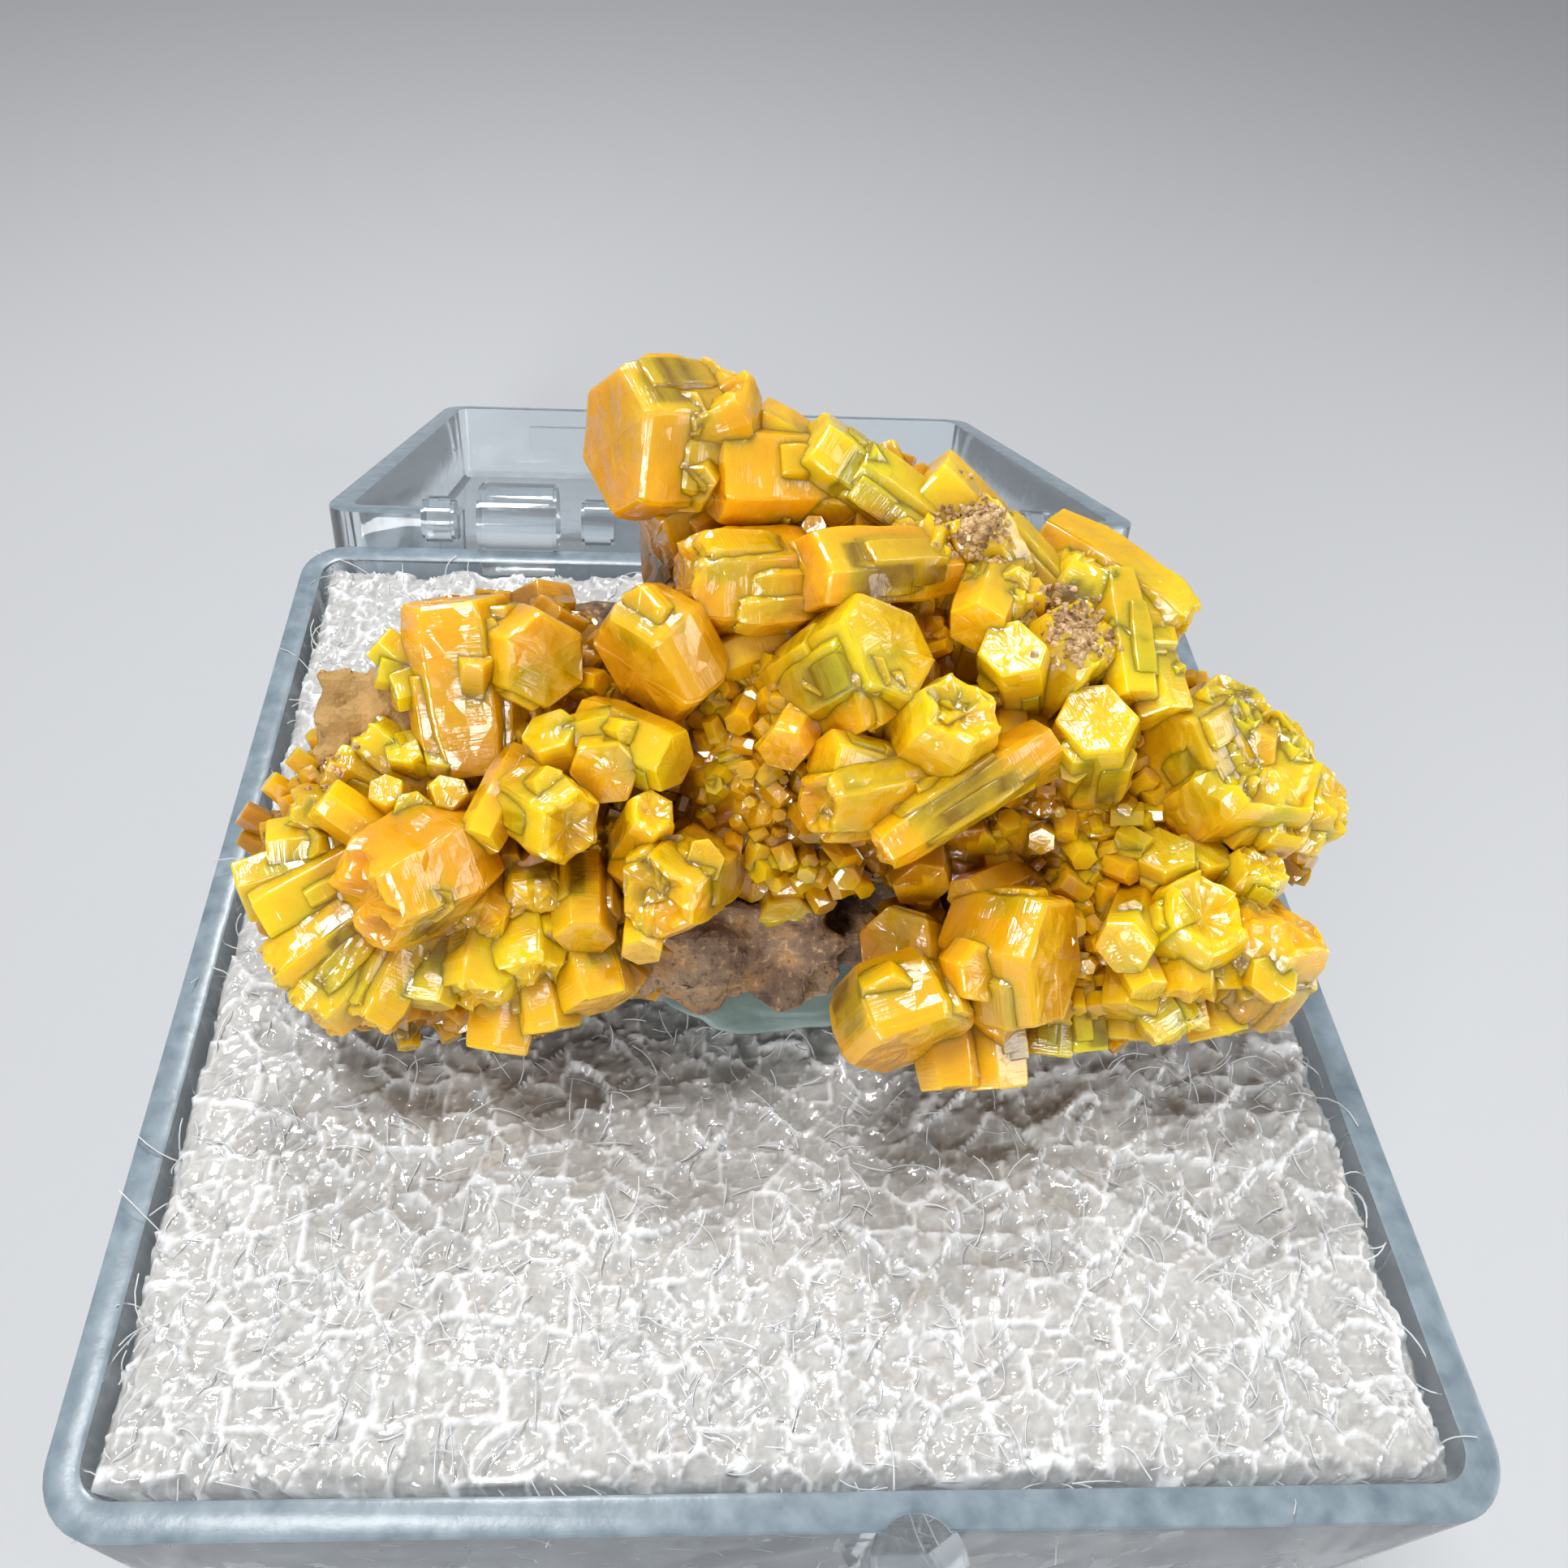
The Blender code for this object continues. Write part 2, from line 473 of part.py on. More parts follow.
def build_base(finish):
    """The moulded base: a thin-walled tray with two hinge knuckles and a thumb catch."""
    foot = HALF - DRAFT
    inner = HALF - WALL
    rings = [
        rounded_square(foot - SOFT_EDGE, CORNER_RADIUS, 0.0),
        rounded_square(foot, CORNER_RADIUS, SOFT_EDGE),
        rounded_square(HALF, CORNER_RADIUS, BASE_HEIGHT),
        rounded_square(inner, CORNER_RADIUS - WALL, BASE_HEIGHT),
        rounded_square(inner - DRAFT, CORNER_RADIUS - WALL, FLOOR),
    ]
    base = loft("box_base", rings)
    extras = []
    for side in (-1, 1):
        middle = side * HINGE_SPREAD
        left, right = middle - KNUCKLE_WIDTH / 2, middle + KNUCKLE_WIDTH / 2
        extras.append(cylinder("knuckle", KNUCKLE_RADIUS, (left, HINGE_Y, HINGE_Z), (right, HINGE_Y, HINGE_Z)))
        extras.append(block("web", (left, HALF - WALL / 2, HINGE_Z - KNUCKLE_RADIUS),
                            (right, HINGE_Y, HINGE_Z - KNUCKLE_RADIUS / 2)))
    extras.append(cylinder("catch", CATCH_RADIUS, (CATCH_X, CATCH_Y, BASE_HEIGHT - CATCH_DROP),
                           (CATCH_X, CATCH_Y, BASE_HEIGHT + CATCH_PROUD)))
    combine(base, extras, "UNION")
    tidy_mesh(base)
    base.data.materials.clear()
    base.data.materials.append(finish)
    return base


def build_lid(finish):
    """The lid, modelled shut over the base and then swung open on its pivot."""
    low = BASE_HEIGHT + RIM_GAP
    high = low + LID_HEIGHT
    top = HALF - DRAFT
    inner = HALF - LID_WALL
    rings = [
        rounded_square(top - SOFT_EDGE, CORNER_RADIUS, high),
        rounded_square(top, CORNER_RADIUS, high - SOFT_EDGE),
        rounded_square(HALF, CORNER_RADIUS, low),
        rounded_square(inner, CORNER_RADIUS - LID_WALL, low),
        rounded_square(inner - DRAFT, CORNER_RADIUS - LID_WALL, high - FLOOR),
    ]
    lid = loft("box_lid", rings)
    notches = []
    ears = []
    for side in (-1, 1):
        middle = side * HINGE_SPREAD
        half_notch = NOTCH_WIDTH / 2
        notches.append(block("notch", (middle - half_notch, HALF - LID_WALL - 0.5, low - 1),
                             (middle + half_notch, HALF + 1, low + NOTCH_HEIGHT)))
        for hand in (-1, 1):
            near = middle + hand * (half_notch - EAR_WIDTH)
            far = middle + hand * (half_notch + EAR_BITE)
            left, right = min(near, far), max(near, far)
            ears.append(cylinder("ear", EAR_RADIUS, (left, HINGE_Y, HINGE_Z), (right, HINGE_Y, HINGE_Z)))
            ears.append(block("arm", (left, HALF - LID_WALL, low + EAR_GAP), (right, HINGE_Y, HINGE_Z + EAR_RADIUS)))
            ears.append(block("root", (left, HALF - LID_WALL + ROOT_INSET, low + ROOT_INSET),
                              (right, HALF - ROOT_INSET, low + NOTCH_HEIGHT + EAR_BITE)))
    combine(lid, notches, "DIFFERENCE")
    lip = block("lip", (LIP_LEFT, -HALF - LIP_DEPTH, low + LIP_LOW), (LIP_RIGHT, -HALF + LID_WALL / 2, low + LIP_HIGH))
    combine(lid, ears + [lip], "UNION")
    tidy_mesh(lid)
    lid.data.materials.clear()
    lid.data.materials.append(finish)
    pivot = bpy.data.objects.new("lid_pivot", None)
    bpy.context.scene.collection.objects.link(pivot)
    axis_point = Vector((0.0, HINGE_Y * MM, HINGE_Z * MM))
    lid.data.transform(Matrix.Translation(-axis_point))
    pivot.location = axis_point
    lid.parent = pivot
    pivot.rotation_euler = (-math.radians(OPEN_ANGLE), 0.0, 0.0)
    return lid


def build_foam(finish):
    """The foam block: lumpy on top, dented where the putty and the specimen press on it."""
    half = HALF - WALL - DRAFT - FOAM_GAP
    bottom = FLOOR + CLEARANCE
    count = FOAM_CELLS
    shape = bmesh.new()
    upper = []
    lower = []
    for row in range(count + 1):
        for column in range(count + 1):
            x = -half + 2 * half * column / count
            y = -half + 2 * half * row / count
            rough = noise.noise(Vector((x * 0.55, y * 0.55, 3.1)))
            away = math.hypot(x - DIP_CENTRE[0], y - DIP_CENTRE[1])
            dent = DIP_DEPTH * max(0.0, 1.0 - (away / DIP_RADIUS) ** 2)
            edge = column in (0, count) or row in (0, count)
            shift = FOAM_RAGGED * noise.noise(Vector((y * 0.8, x * 0.8, 7.7))) if edge else 0.0
            scale = 1.0 + shift / half
            top = FOAM_TOP - FOAM_SINK + FOAM_LUMP * rough - dent
            upper.append(shape.verts.new((x * scale, y * scale, top)))
            lower.append(shape.verts.new((x * scale, y * scale, bottom)) if edge else None)
    wide = count + 1
    for row in range(count):
        for column in range(count):
            first = row * wide + column
            shape.faces.new((upper[first], upper[first + 1], upper[first + wide + 1], upper[first + wide]))
    rim = list(range(count))
    rim += [row * wide + count for row in range(count)]
    rim += [count * wide + column for column in range(count, 0, -1)]
    rim += [row * wide for row in range(count, 0, -1)]
    for here, following in zip(rim, rim[1:] + rim[:1]):
        shape.faces.new((upper[here], lower[here], lower[following], upper[following]))
    shape.faces.new([lower[index] for index in rim])
    foam = add_object("foam_insert", finish_bmesh(shape, "foam_insert"), finish)
    tidy_mesh(foam)
    return foam


def build_putty(finish):
    """A flattened dab of putty."""
    shape = bmesh.new()
    bmesh.ops.create_icosphere(shape, subdivisions=LUMP_DETAIL, radius=1.0)
    for vert in shape.verts:
        wobble = 1.0 + 0.12 * noise.noise(vert.co * 1.7)
        vert.co = Vector([PUTTY_CENTRE[axis] + vert.co[axis] * PUTTY_SIZE[axis] * wobble for axis in range(3)])
    return add_object("putty", finish_bmesh(shape, "putty"), finish)


def main():
    clear_scene()
    clear_plastic = material("clear_plastic", (0.86, 0.90, 0.94), 0.05, 0.9)
    foam = material("clear_foam", (0.80, 0.82, 0.83), 0.35, 0.4)
    putty = material("teal_putty", (0.16, 0.32, 0.32), 0.6)
    rock = material("brown_matrix", (0.30, 0.16, 0.07), 0.85)
    pyromorphite = material("pyromorphite", (0.83, 0.46, 0.02), 0.25)
    build_base(clear_plastic)
    build_lid(clear_plastic)
    build_foam(foam)
    build_putty(putty)
    matrix = build_rock("matrix", 0.0)
    matrix.data.materials.append(rock)
    build_crystals(pyromorphite)
    for item in bpy.data.objects:
        if item.type == "MESH":
            print(item.name, len(item.data.polygons), "triangles")


main()
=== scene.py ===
# %% [markdown]
# This lesson dresses a pyromorphite specimen in its small hinged box. The solids that carry everything were
# made before and are loaded as a fixed frame, so every piece here is placed in that frame's metres. First
# come the tools, then the crystals, the rock, the putty, the foam, the clear box, and last the studio and
# the camera.

# %% load the frame
import math

import bmesh
import bpy
import numpy as np
from mathutils import Matrix, Vector, noise
from mathutils.bvhtree import BVHTree


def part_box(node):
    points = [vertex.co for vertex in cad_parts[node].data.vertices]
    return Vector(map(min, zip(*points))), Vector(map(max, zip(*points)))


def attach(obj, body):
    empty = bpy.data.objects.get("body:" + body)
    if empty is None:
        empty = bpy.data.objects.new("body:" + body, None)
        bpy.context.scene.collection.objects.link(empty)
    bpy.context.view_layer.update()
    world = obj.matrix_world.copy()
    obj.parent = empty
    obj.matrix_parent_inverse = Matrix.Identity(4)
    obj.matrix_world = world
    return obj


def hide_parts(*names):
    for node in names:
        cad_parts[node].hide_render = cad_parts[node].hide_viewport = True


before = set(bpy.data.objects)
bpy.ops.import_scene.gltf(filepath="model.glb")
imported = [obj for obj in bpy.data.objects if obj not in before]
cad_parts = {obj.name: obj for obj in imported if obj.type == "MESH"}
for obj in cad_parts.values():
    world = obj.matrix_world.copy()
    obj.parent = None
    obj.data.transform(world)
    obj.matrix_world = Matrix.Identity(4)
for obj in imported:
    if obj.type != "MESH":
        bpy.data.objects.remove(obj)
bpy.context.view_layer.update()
MM = 0.001
print("nodes in the frame:", sorted(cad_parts))

# %% [markdown]
# The box sets the main sizes. They are read from the frame where a node gives them, so the shells made
# later fit the solids that they stand for. The display face is the tilted plane that the crystals show to
# the viewer: u runs to the right, v up the slope and w out of it, all in millimetres.

# %% sizes and the display face
base_low, base_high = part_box("box_base")
HALF = base_high.x / MM
RIM = 20.5
LID_RIM = RIM + 0.3
HINGE_Y = 17.2
HINGE_Z = RIM + 0.35
OPEN_ANGLE = 206.4
FACE_CENTRE = Vector((0.0, -1.5, RIM + 6.5))
FACE_TILT = math.radians(50.0)
FACE_U = Vector((1.0, 0.0, 0.0))
FACE_V = Vector((0.0, math.sin(FACE_TILT), math.cos(FACE_TILT)))
FACE_W = Vector((0.0, -math.cos(FACE_TILT), math.sin(FACE_TILT)))
print("half width of the box:", round(HALF, 2), "mm")


def on_face(u, v, w):
    """Place on the display face, in millimetres of the frame."""
    return FACE_CENTRE + FACE_U * u + FACE_V * v + FACE_W * w


def way_on_face(turn, rise):
    """Direction that turns in the display face and rises out of it, both in degrees."""
    turn, rise = math.radians(turn), math.radians(rise)
    flat = FACE_U * math.cos(turn) + FACE_V * math.sin(turn)
    return (flat * math.cos(rise) + FACE_W * math.sin(rise)).normalized()


# %% [markdown]
# A few helpers are used all through. Meshes are written in millimetres and scaled to metres once, here.
# Nodes get all their inputs from one dictionary: a socket is linked, and any other value is set on the
# input itself.

# %% mesh and material helpers
def link_object(name, mesh, finish=None, smooth=False):
    """Object at the origin that shows a mesh."""
    item = bpy.data.objects.new(name, mesh)
    bpy.context.scene.collection.objects.link(item)
    if finish:
        mesh.materials.append(finish)
    if smooth:
        mesh.shade_smooth()
    return item


def add_piece(name, points, faces, finish=None, smooth=False):
    """Mesh object at the origin from points in millimetres."""
    mesh = bpy.data.meshes.new(name)
    mesh.from_pydata([tuple(point) for point in points], [], [tuple(face) for face in faces])
    mesh.transform(Matrix.Scale(MM, 4))
    mesh.update()
    return link_object(name, mesh, finish, smooth)


def free_to_object(shape, name, finish=None, smooth=False):
    """Object from a bmesh in metres, which is freed."""
    mesh = bpy.data.meshes.new(name)
    shape.to_mesh(mesh)
    shape.free()
    return link_object(name, mesh, finish, smooth)


def ring_faces(rings, count):
    """Four-sided faces between closed rings of points, numbered one ring after the other."""
    faces = []
    for low in range(0, (rings - 1) * count, count):
        for index in range(count):
            following = (index + 1) % count
            high = low + count
            faces.append((low + index, high + index, high + following, low + following))
    return faces


def move_points(item, rule):
    """Move each point of an object by a rule of its first place and normal."""
    before = [(vert.co.copy(), vert.normal.copy()) for vert in item.data.vertices]
    for vert, (place, normal) in zip(item.data.vertices, before):
        vert.co = rule(place, normal)


def add_point_values(item, name, values):
    """Store one number for each point, for a material to read."""
    attribute = item.data.attributes.new(name, "FLOAT", "POINT")
    attribute.data.foreach_set("value", np.asarray(values, np.float32))


def feed(tree, node, values):
    """Fill a node's inputs, by label or number: a socket is linked, and another value is set."""
    for label, value in values.items():
        if isinstance(value, bpy.types.NodeSocket):
            tree.links.new(value, node.inputs[label])
        else:
            node.inputs[label].default_value = value


def add_node(tree, kind, values=None, **settings):
    """Add a node with its properties and inputs."""
    node = tree.nodes.new(kind)
    for key, value in settings.items():
        setattr(node, key, value)
    feed(tree, node, values or {})
    return node


def start_material(name):
    """New node material: returns it, its node tree, its Principled BSDF and the Object coordinates."""
    made = bpy.data.materials.new(name)
    made.use_nodes = True
    tree = made.node_tree
    return made, tree, tree.nodes["Principled BSDF"], add_node(tree, "ShaderNodeTexCoord").outputs["Object"]


def add_ramp(tree, source, stops):
    """Colour ramp fed by a socket. A stop is a place and a colour."""
    ramp = add_node(tree, "ShaderNodeValToRGB", {"Fac": source})
    elements = ramp.color_ramp.elements
    while len(elements) < len(stops):
        elements.new(0.5)
    for element, (place, colour) in zip(elements, stops):
        element.position = place
        element.color = (*colour, 1.0)
    return ramp.outputs["Color"]


def mix_colour(tree, share, first, second):
    """Mix a colour socket with a plain colour by a share socket."""
    values = {0: share, 6: first, 7: (*second, 1.0)}
    return add_node(tree, "ShaderNodeMix", values, data_type="RGBA").outputs[2]


def map_range(tree, source, low, high, to_low, to_high):
    """Rescale a value socket and clamp it."""
    values = {0: source, 1: low, 2: high, 3: to_low, 4: to_high}
    return add_node(tree, "ShaderNodeMapRange", values).outputs[0]


def add_bump(tree, height, strength, distance_mm, below=None):
    """Bump node on a height socket, stacked on another bump if one is given."""
    values = {"Strength": strength, "Distance": distance_mm * MM, "Height": height}
    if below:
        values["Normal"] = below
    return add_node(tree, "ShaderNodeBump", values).outputs["Normal"]


def add_noise(tree, place, size_mm, detail=3.0, roughness=0.55):
    """Noise whose patches are about the given size in millimetres."""
    values = {"Vector": place, "Scale": 1.0 / (size_mm * MM), "Detail": detail, "Roughness": roughness}
    return add_node(tree, "ShaderNodeTexNoise", values).outputs["Fac"]


def read_attribute(tree, name):
    """Number that is stored with each point."""
    return add_node(tree, "ShaderNodeAttribute", attribute_name=name).outputs["Fac"]


def vector_math(tree, operation, values):
    """Result of a Vector Math node, whose inputs are sockets or plain values."""
    made = add_node(tree, "ShaderNodeVectorMath", values, operation=operation).outputs
    return made["Value" if operation == "DOT_PRODUCT" else "Vector"]


def plain_finish(name, grain, stops, bump, settings):
    """Finish whose colour follows a noise, maybe with a bump: size in mm, detail, strength, depth in mm."""
    made, tree, shader, place = start_material(name)
    feed(tree, shader, {"Base Color": add_ramp(tree, add_noise(tree, place, *grain), stops), **settings})
    if bump:
        size, detail, strength, depth = bump
        feed(tree, shader, {"Normal": add_bump(tree, add_noise(tree, place, size, detail), strength, depth)})
    return made


# %% [markdown]
# Pyromorphite is resinous and lets light in for about a millimetre, so the shader scatters light under the
# surface and keeps a strong gloss on top. Its colour runs from orange through yellow to lime. Each crystal
# carries a tint number, another that says how far down its side a point lies, and a third for how deep the
# point is in a gap. The last two paint shade into the colour, amber towards the roots and in the gaps and
# brown deep in them, for the light that reaches there only through crystal. Milky clouds, etched patches
# and fine growth lines come from noise and from the crystal's own UV map. Small flat cells, each leaning
# its own way, give the many separate glints.

# %% pyromorphite finish
TINTS = {"orange": 0.12, "amber": 0.28, "yellow": 0.5, "lime": 0.68, "green": 0.82}
GLINT_CELL_MM = 0.45


def glint_height(tree, place):
    """Height in millimetres of small flat cells that lean at random."""
    scaled = vector_math(tree, "SCALE", {0: place, "Scale": 1.0 / MM})
    cells = add_node(tree, "ShaderNodeTexVoronoi", {"Vector": scaled, "Scale": 1.0 / GLINT_CELL_MM}).outputs
    offset = vector_math(tree, "SUBTRACT", {0: scaled, 1: cells["Position"]})
    lean = vector_math(tree, "SUBTRACT", {0: cells["Color"], 1: (0.5, 0.5, 0.5)})
    return vector_math(tree, "DOT_PRODUCT", {0: offset, 1: lean})


def make_pyromorphite():
    made, tree, shader, place = start_material("pyromorphite")
    root = read_attribute(tree, "root")
    hollow = read_attribute(tree, "hollow")
    values = {0: add_noise(tree, place, 1.6), 1: 0.24, 2: read_attribute(tree, "tint")}
    shift = add_node(tree, "ShaderNodeMath", values, operation="MULTIPLY_ADD").outputs[0]
    colour = add_ramp(tree, map_range(tree, shift, 0.2, 1.1, 0.0, 1.0), [
        (0.0, (0.94, 0.45, 0.003)),
        (0.3, (0.93, 0.53, 0.004)),
        (0.52, (0.90, 0.60, 0.005)),
        (0.75, (0.82, 0.58, 0.007)),
        (1.0, (0.64, 0.50, 0.012)),
    ])
    milk = map_range(tree, add_noise(tree, place, 0.5, 4.0), 0.6, 0.85, 0.0, 0.3)
    for share, other in (
        (milk, (0.90, 0.66, 0.16)),
        # painted shade: amber towards each crystal's root
        (map_range(tree, root, 0.06, 0.75, 0.0, 0.5), (0.60, 0.29, 0.003)),
        # painted shade: amber in the gaps, and brown deep in them
        (map_range(tree, hollow, 0.2, 0.85, 0.0, 0.85), (0.58, 0.24, 0.002)),
        (map_range(tree, hollow, 0.78, 1.0, 0.0, 0.8), (0.16, 0.06, 0.002)),
    ):
        colour = mix_colour(tree, share, colour, other)
    values = {"Vector": add_node(tree, "ShaderNodeUVMap").outputs["UV"], "Scale": (1.6, 16.0, 1.0)}
    lines = add_node(tree, "ShaderNodeMapping", values).outputs["Vector"]
    growth = add_node(tree, "ShaderNodeTexNoise", {"Vector": lines, "Scale": 1.0, "Detail": 3.0})
    normal = add_bump(tree, glint_height(tree, place), 1.0, 0.3)
    normal = add_bump(tree, growth.outputs["Fac"], 0.35, 0.05, normal)
    normal = add_bump(tree, add_noise(tree, place, 0.16, 4.0), 0.3, 0.04, normal)
    feed(tree, shader, {
        "Base Color": colour,
        "Roughness": map_range(tree, add_noise(tree, place, 0.8, 5.0), 0.45, 0.75, 0.05, 0.24),
        "Normal": normal,
        "IOR": 1.85,
        "Subsurface Weight": 0.75,
        "Subsurface Radius": (1.0, 0.85, 0.12),
        "Subsurface Scale": 0.8 * MM,
        "Coat Weight": 0.25,
        "Coat Roughness": 0.12,
    })
    return made


pyromorphite = make_pyromorphite()
print("made", pyromorphite.name)

# %% [markdown]
# Each crystal is a six-sided barrel, and on this specimen most are bundles that grew side by side. A
# crystal is written as one row: where its free end is on the display face, which way it points, how wide
# and long it is, how it is turned about its own axis, what its end looks like, and its tint. The rows are
# the design of the cluster, so they are written one by one, region by region: name, place u v w, turn and
# rise of its free end, width, length, turn about its own axis, kind of end, tint.

# %% the crystals, row by row
def read_rows(text):
    """Crystal rows from a table, with its numbers as numbers."""
    rows = []
    for line in text.strip().splitlines():
        name, *numbers, kind, tint = line.split()
        rows.append((name, *map(float, numbers), kind, tint))
    return rows


CROWN = read_rows("""
crown_end -4.3 8.6 1.0 190 30 3.2 3.2 0 flat orange
crown_top -2.3 9.9 1.4 112 50 2.4 2.8 30 hopper orange
crown_low -2.7 7.6 1.0 240 20 1.5 2.2 10 flat orange
stalk_back -1.0 9.2 0.0 152 10 2.0 4.6 20 flat yellow
stalk_bright 0.3 8.7 0.8 148 20 1.7 3.4 30 flat lime
stalk_side 1.4 8.1 0.7 150 15 1.6 3.0 5 flat lime
stalk_orange -1.9 7.9 0.8 185 18 2.1 3.8 30 flat orange
neck_left -3.2 6.6 -0.4 212 15 1.8 3.0 0 flat orange
neck_mid -0.8 6.8 0.1 250 35 2.0 2.6 15 flat orange
neck_right 1.2 6.8 0.3 262 40 1.8 2.4 30 flat amber
""")
UPPER_LEFT = read_rows("""
tall_prism -8.1 4.9 0.3 98 14 2.4 4.2 30 flat orange
tall_neighbour -7.2 4.8 0.3 92 12 1.4 4.0 30 flat orange
tall_side -5.8 3.4 1.1 335 55 2.2 2.4 0 flat orange
fan_small_a -9.9 3.9 0.0 140 15 1.0 2.4 0 flat lime
fan_small_b -9.9 3.2 0.1 172 20 1.0 2.2 20 flat lime
fan_small_c -9.5 2.6 0.2 200 20 1.0 2.0 40 flat lime
nub_behind -7.2 5.3 -0.8 85 10 0.9 2.2 0 flat lime
lump_behind -5.4 4.9 -1.0 60 10 1.5 2.6 0 flat green
banded_tablet -3.6 3.1 1.5 225 25 2.7 1.7 0 flat orange
tablet_back -3.9 4.8 0.6 130 25 1.2 2.6 30 flat yellow
""")
LEFT = read_rows("""
slab_white -7.2 -0.9 1.5 248 30 1.0 2.6 30 flat yellow
slab_left -10.9 0.1 1.1 142 15 1.1 2.2 30 flat yellow
druse_a -9.5 0.3 0.9 95 50 0.9 1.8 0 flat yellow
druse_b -8.8 -0.1 1.1 60 55 0.9 1.8 20 flat yellow
druse_c -8.0 0.3 0.8 70 60 0.9 1.6 40 flat lime
druse_d -9.2 1.3 0.3 100 55 0.9 1.6 10 flat lime
druse_e -8.3 1.3 0.2 80 60 0.9 1.6 30 flat lime
bumpy_barrel -9.7 -2.3 1.9 207 42 2.6 3.0 20 rough orange
fan_a -12.3 -2.9 0.8 211 15 1.5 3.6 30 flat yellow
fan_b -12.0 -4.1 0.8 218 15 1.8 3.8 0 rough amber
fan_c -11.2 -5.0 0.7 230 15 1.9 3.8 30 rough amber
fan_d -10.0 -5.2 0.6 245 15 1.8 3.4 0 rough amber
fan_e -8.7 -4.8 0.6 262 22 1.5 2.8 30 flat yellow
fan_green -13.0 -2.2 0.2 198 12 1.6 3.6 0 flat lime
fan_top -12.4 -1.2 0.1 184 12 1.5 3.2 20 flat lime
edge_a -11.9 -0.2 0.0 165 14 1.4 2.8 40 rough lime
edge_b -11.1 0.9 -0.2 150 14 1.3 2.6 10 rough lime
edge_c -10.2 1.7 -0.2 135 14 1.2 2.4 30 rough green
sheet_a -7.4 -4.6 0.7 262 35 1.8 2.8 10 rough yellow
sheet_b -6.1 -4.2 0.7 278 40 1.8 2.8 40 rough yellow
sheet_c -7.4 -3.0 0.8 260 60 1.7 2.4 0 rough amber
sheet_d -6.0 -2.6 0.6 275 60 1.7 2.4 30 rough amber
foot_a -6.9 -6.1 -0.3 262 10 1.6 3.4 0 flat amber
foot_b -5.7 -5.6 -0.2 282 12 1.7 3.2 30 flat amber
foot_c -4.4 -4.9 0.0 290 22 1.8 3.0 10 flat amber
""")
CENTRE_LEFT = read_rows("""
barrel_left -5.0 -0.6 1.9 330 45 1.9 2.8 0 hopper yellow
stack_cube -5.6 1.8 1.2 115 45 1.3 2.4 20 flat yellow
stack_thin -4.1 1.9 1.3 14 20 0.9 1.8 30 flat yellow
stack_long -2.7 1.0 1.8 335 32 1.5 2.8 30 flat yellow
stack_body -4.3 0.7 1.7 250 60 1.6 2.8 0 flat amber
hopper_mini -3.2 -0.1 1.9 60 60 1.2 2.8 30 hopper yellow
hexagon_face -3.2 -2.0 2.3 207 62 2.1 3.6 0 hopper orange
hexagon_side -1.9 -1.8 1.6 345 40 1.6 2.6 30 flat orange
hexagon_low -3.4 -3.4 1.7 262 40 1.0 2.6 0 flat amber
filler_left -4.8 -3.2 0.9 275 40 1.5 2.8 20 flat amber
""")
CENTRE = read_rows("""
rough_barrel -2.5 5.1 1.2 187 18 2.4 3.8 15 rough orange
block_orange 0.3 5.4 1.9 188 22 2.0 3.8 0 flat orange
block_yellow 2.1 3.75 2.7 32 52 2.7 4.0 20 flat yellow
stacked_round 0.6 3.1 2.6 150 55 1.1 2.4 0 flat orange
pink_tablet 0.8 2.3 2.5 215 32 2.0 2.2 0 flat orange
yellow_cup 3.7 2.3 3.1 62 55 1.9 4.0 30 hopper yellow
hexagon_small -0.25 1.3 2.1 235 40 1.2 3.0 0 flat amber
lobe_long 0.45 0.1 2.9 190 28 1.7 4.6 0 hopper orange
lobe_top 0.6 1.1 2.6 165 22 1.3 4.0 30 flat amber
brown_prism 1.9 -0.9 2.7 212 8 1.3 4.8 30 rough orange
grey_prism -1.7 3.4 0.9 205 15 1.0 3.0 30 flat lime
columns -1.4 2.4 0.0 265 35 2.0 3.4 10 rough yellow
lump_cave -1.0 0.3 0.3 270 50 2.0 3.2 0 flat green
botryoid_a -0.6 -1.8 -1.0 270 60 1.5 2.6 0 flat green
botryoid_b 0.9 -1.6 -0.8 300 60 1.6 2.8 20 flat green
botryoid_c 0.3 -2.9 -1.2 270 50 1.5 2.8 40 flat green
""")
UPPER_RIGHT = read_rows("""
ridge 3.3 8.1 0.2 138 10 2.0 5.6 20 flat lime
ridge_red 4.3 7.1 1.1 125 30 1.5 3.0 0 rough yellow
knob_yellow 2.9 6.5 1.5 100 50 1.6 2.8 30 hopper yellow
green_block 5.1 5.5 1.5 80 42 1.9 3.0 15 rough lime
glare_block 4.2 4.2 2.2 240 42 1.4 3.4 30 flat amber
white_end 4.9 3.7 2.7 130 62 1.4 3.6 0 flat yellow
dusty_block 6.9 4.2 1.9 60 52 2.1 3.4 30 rough lime
barrel_white 7.0 2.1 2.4 112 58 1.9 3.4 10 flat yellow
hanging_a 8.9 2.2 1.3 282 20 1.5 3.6 0 flat yellow
hanging_b 8.1 2.6 1.7 270 22 1.3 3.4 30 flat yellow
cap_grey 8.5 4.6 1.1 72 38 1.8 3.0 0 flat green
fin_a 5.0 0.6 2.0 262 35 1.2 3.4 30 flat lime
fin_b 6.0 0.8 1.5 282 32 1.0 3.0 0 flat green
lobe_right 9.7 4.4 0.3 318 22 1.8 4.2 0 rough lime
lobe_mid 9.3 5.5 0.0 42 15 1.4 3.4 30 rough lime
lobe_upper 7.9 6.1 0.0 65 18 2.0 3.4 10 rough lime
""")
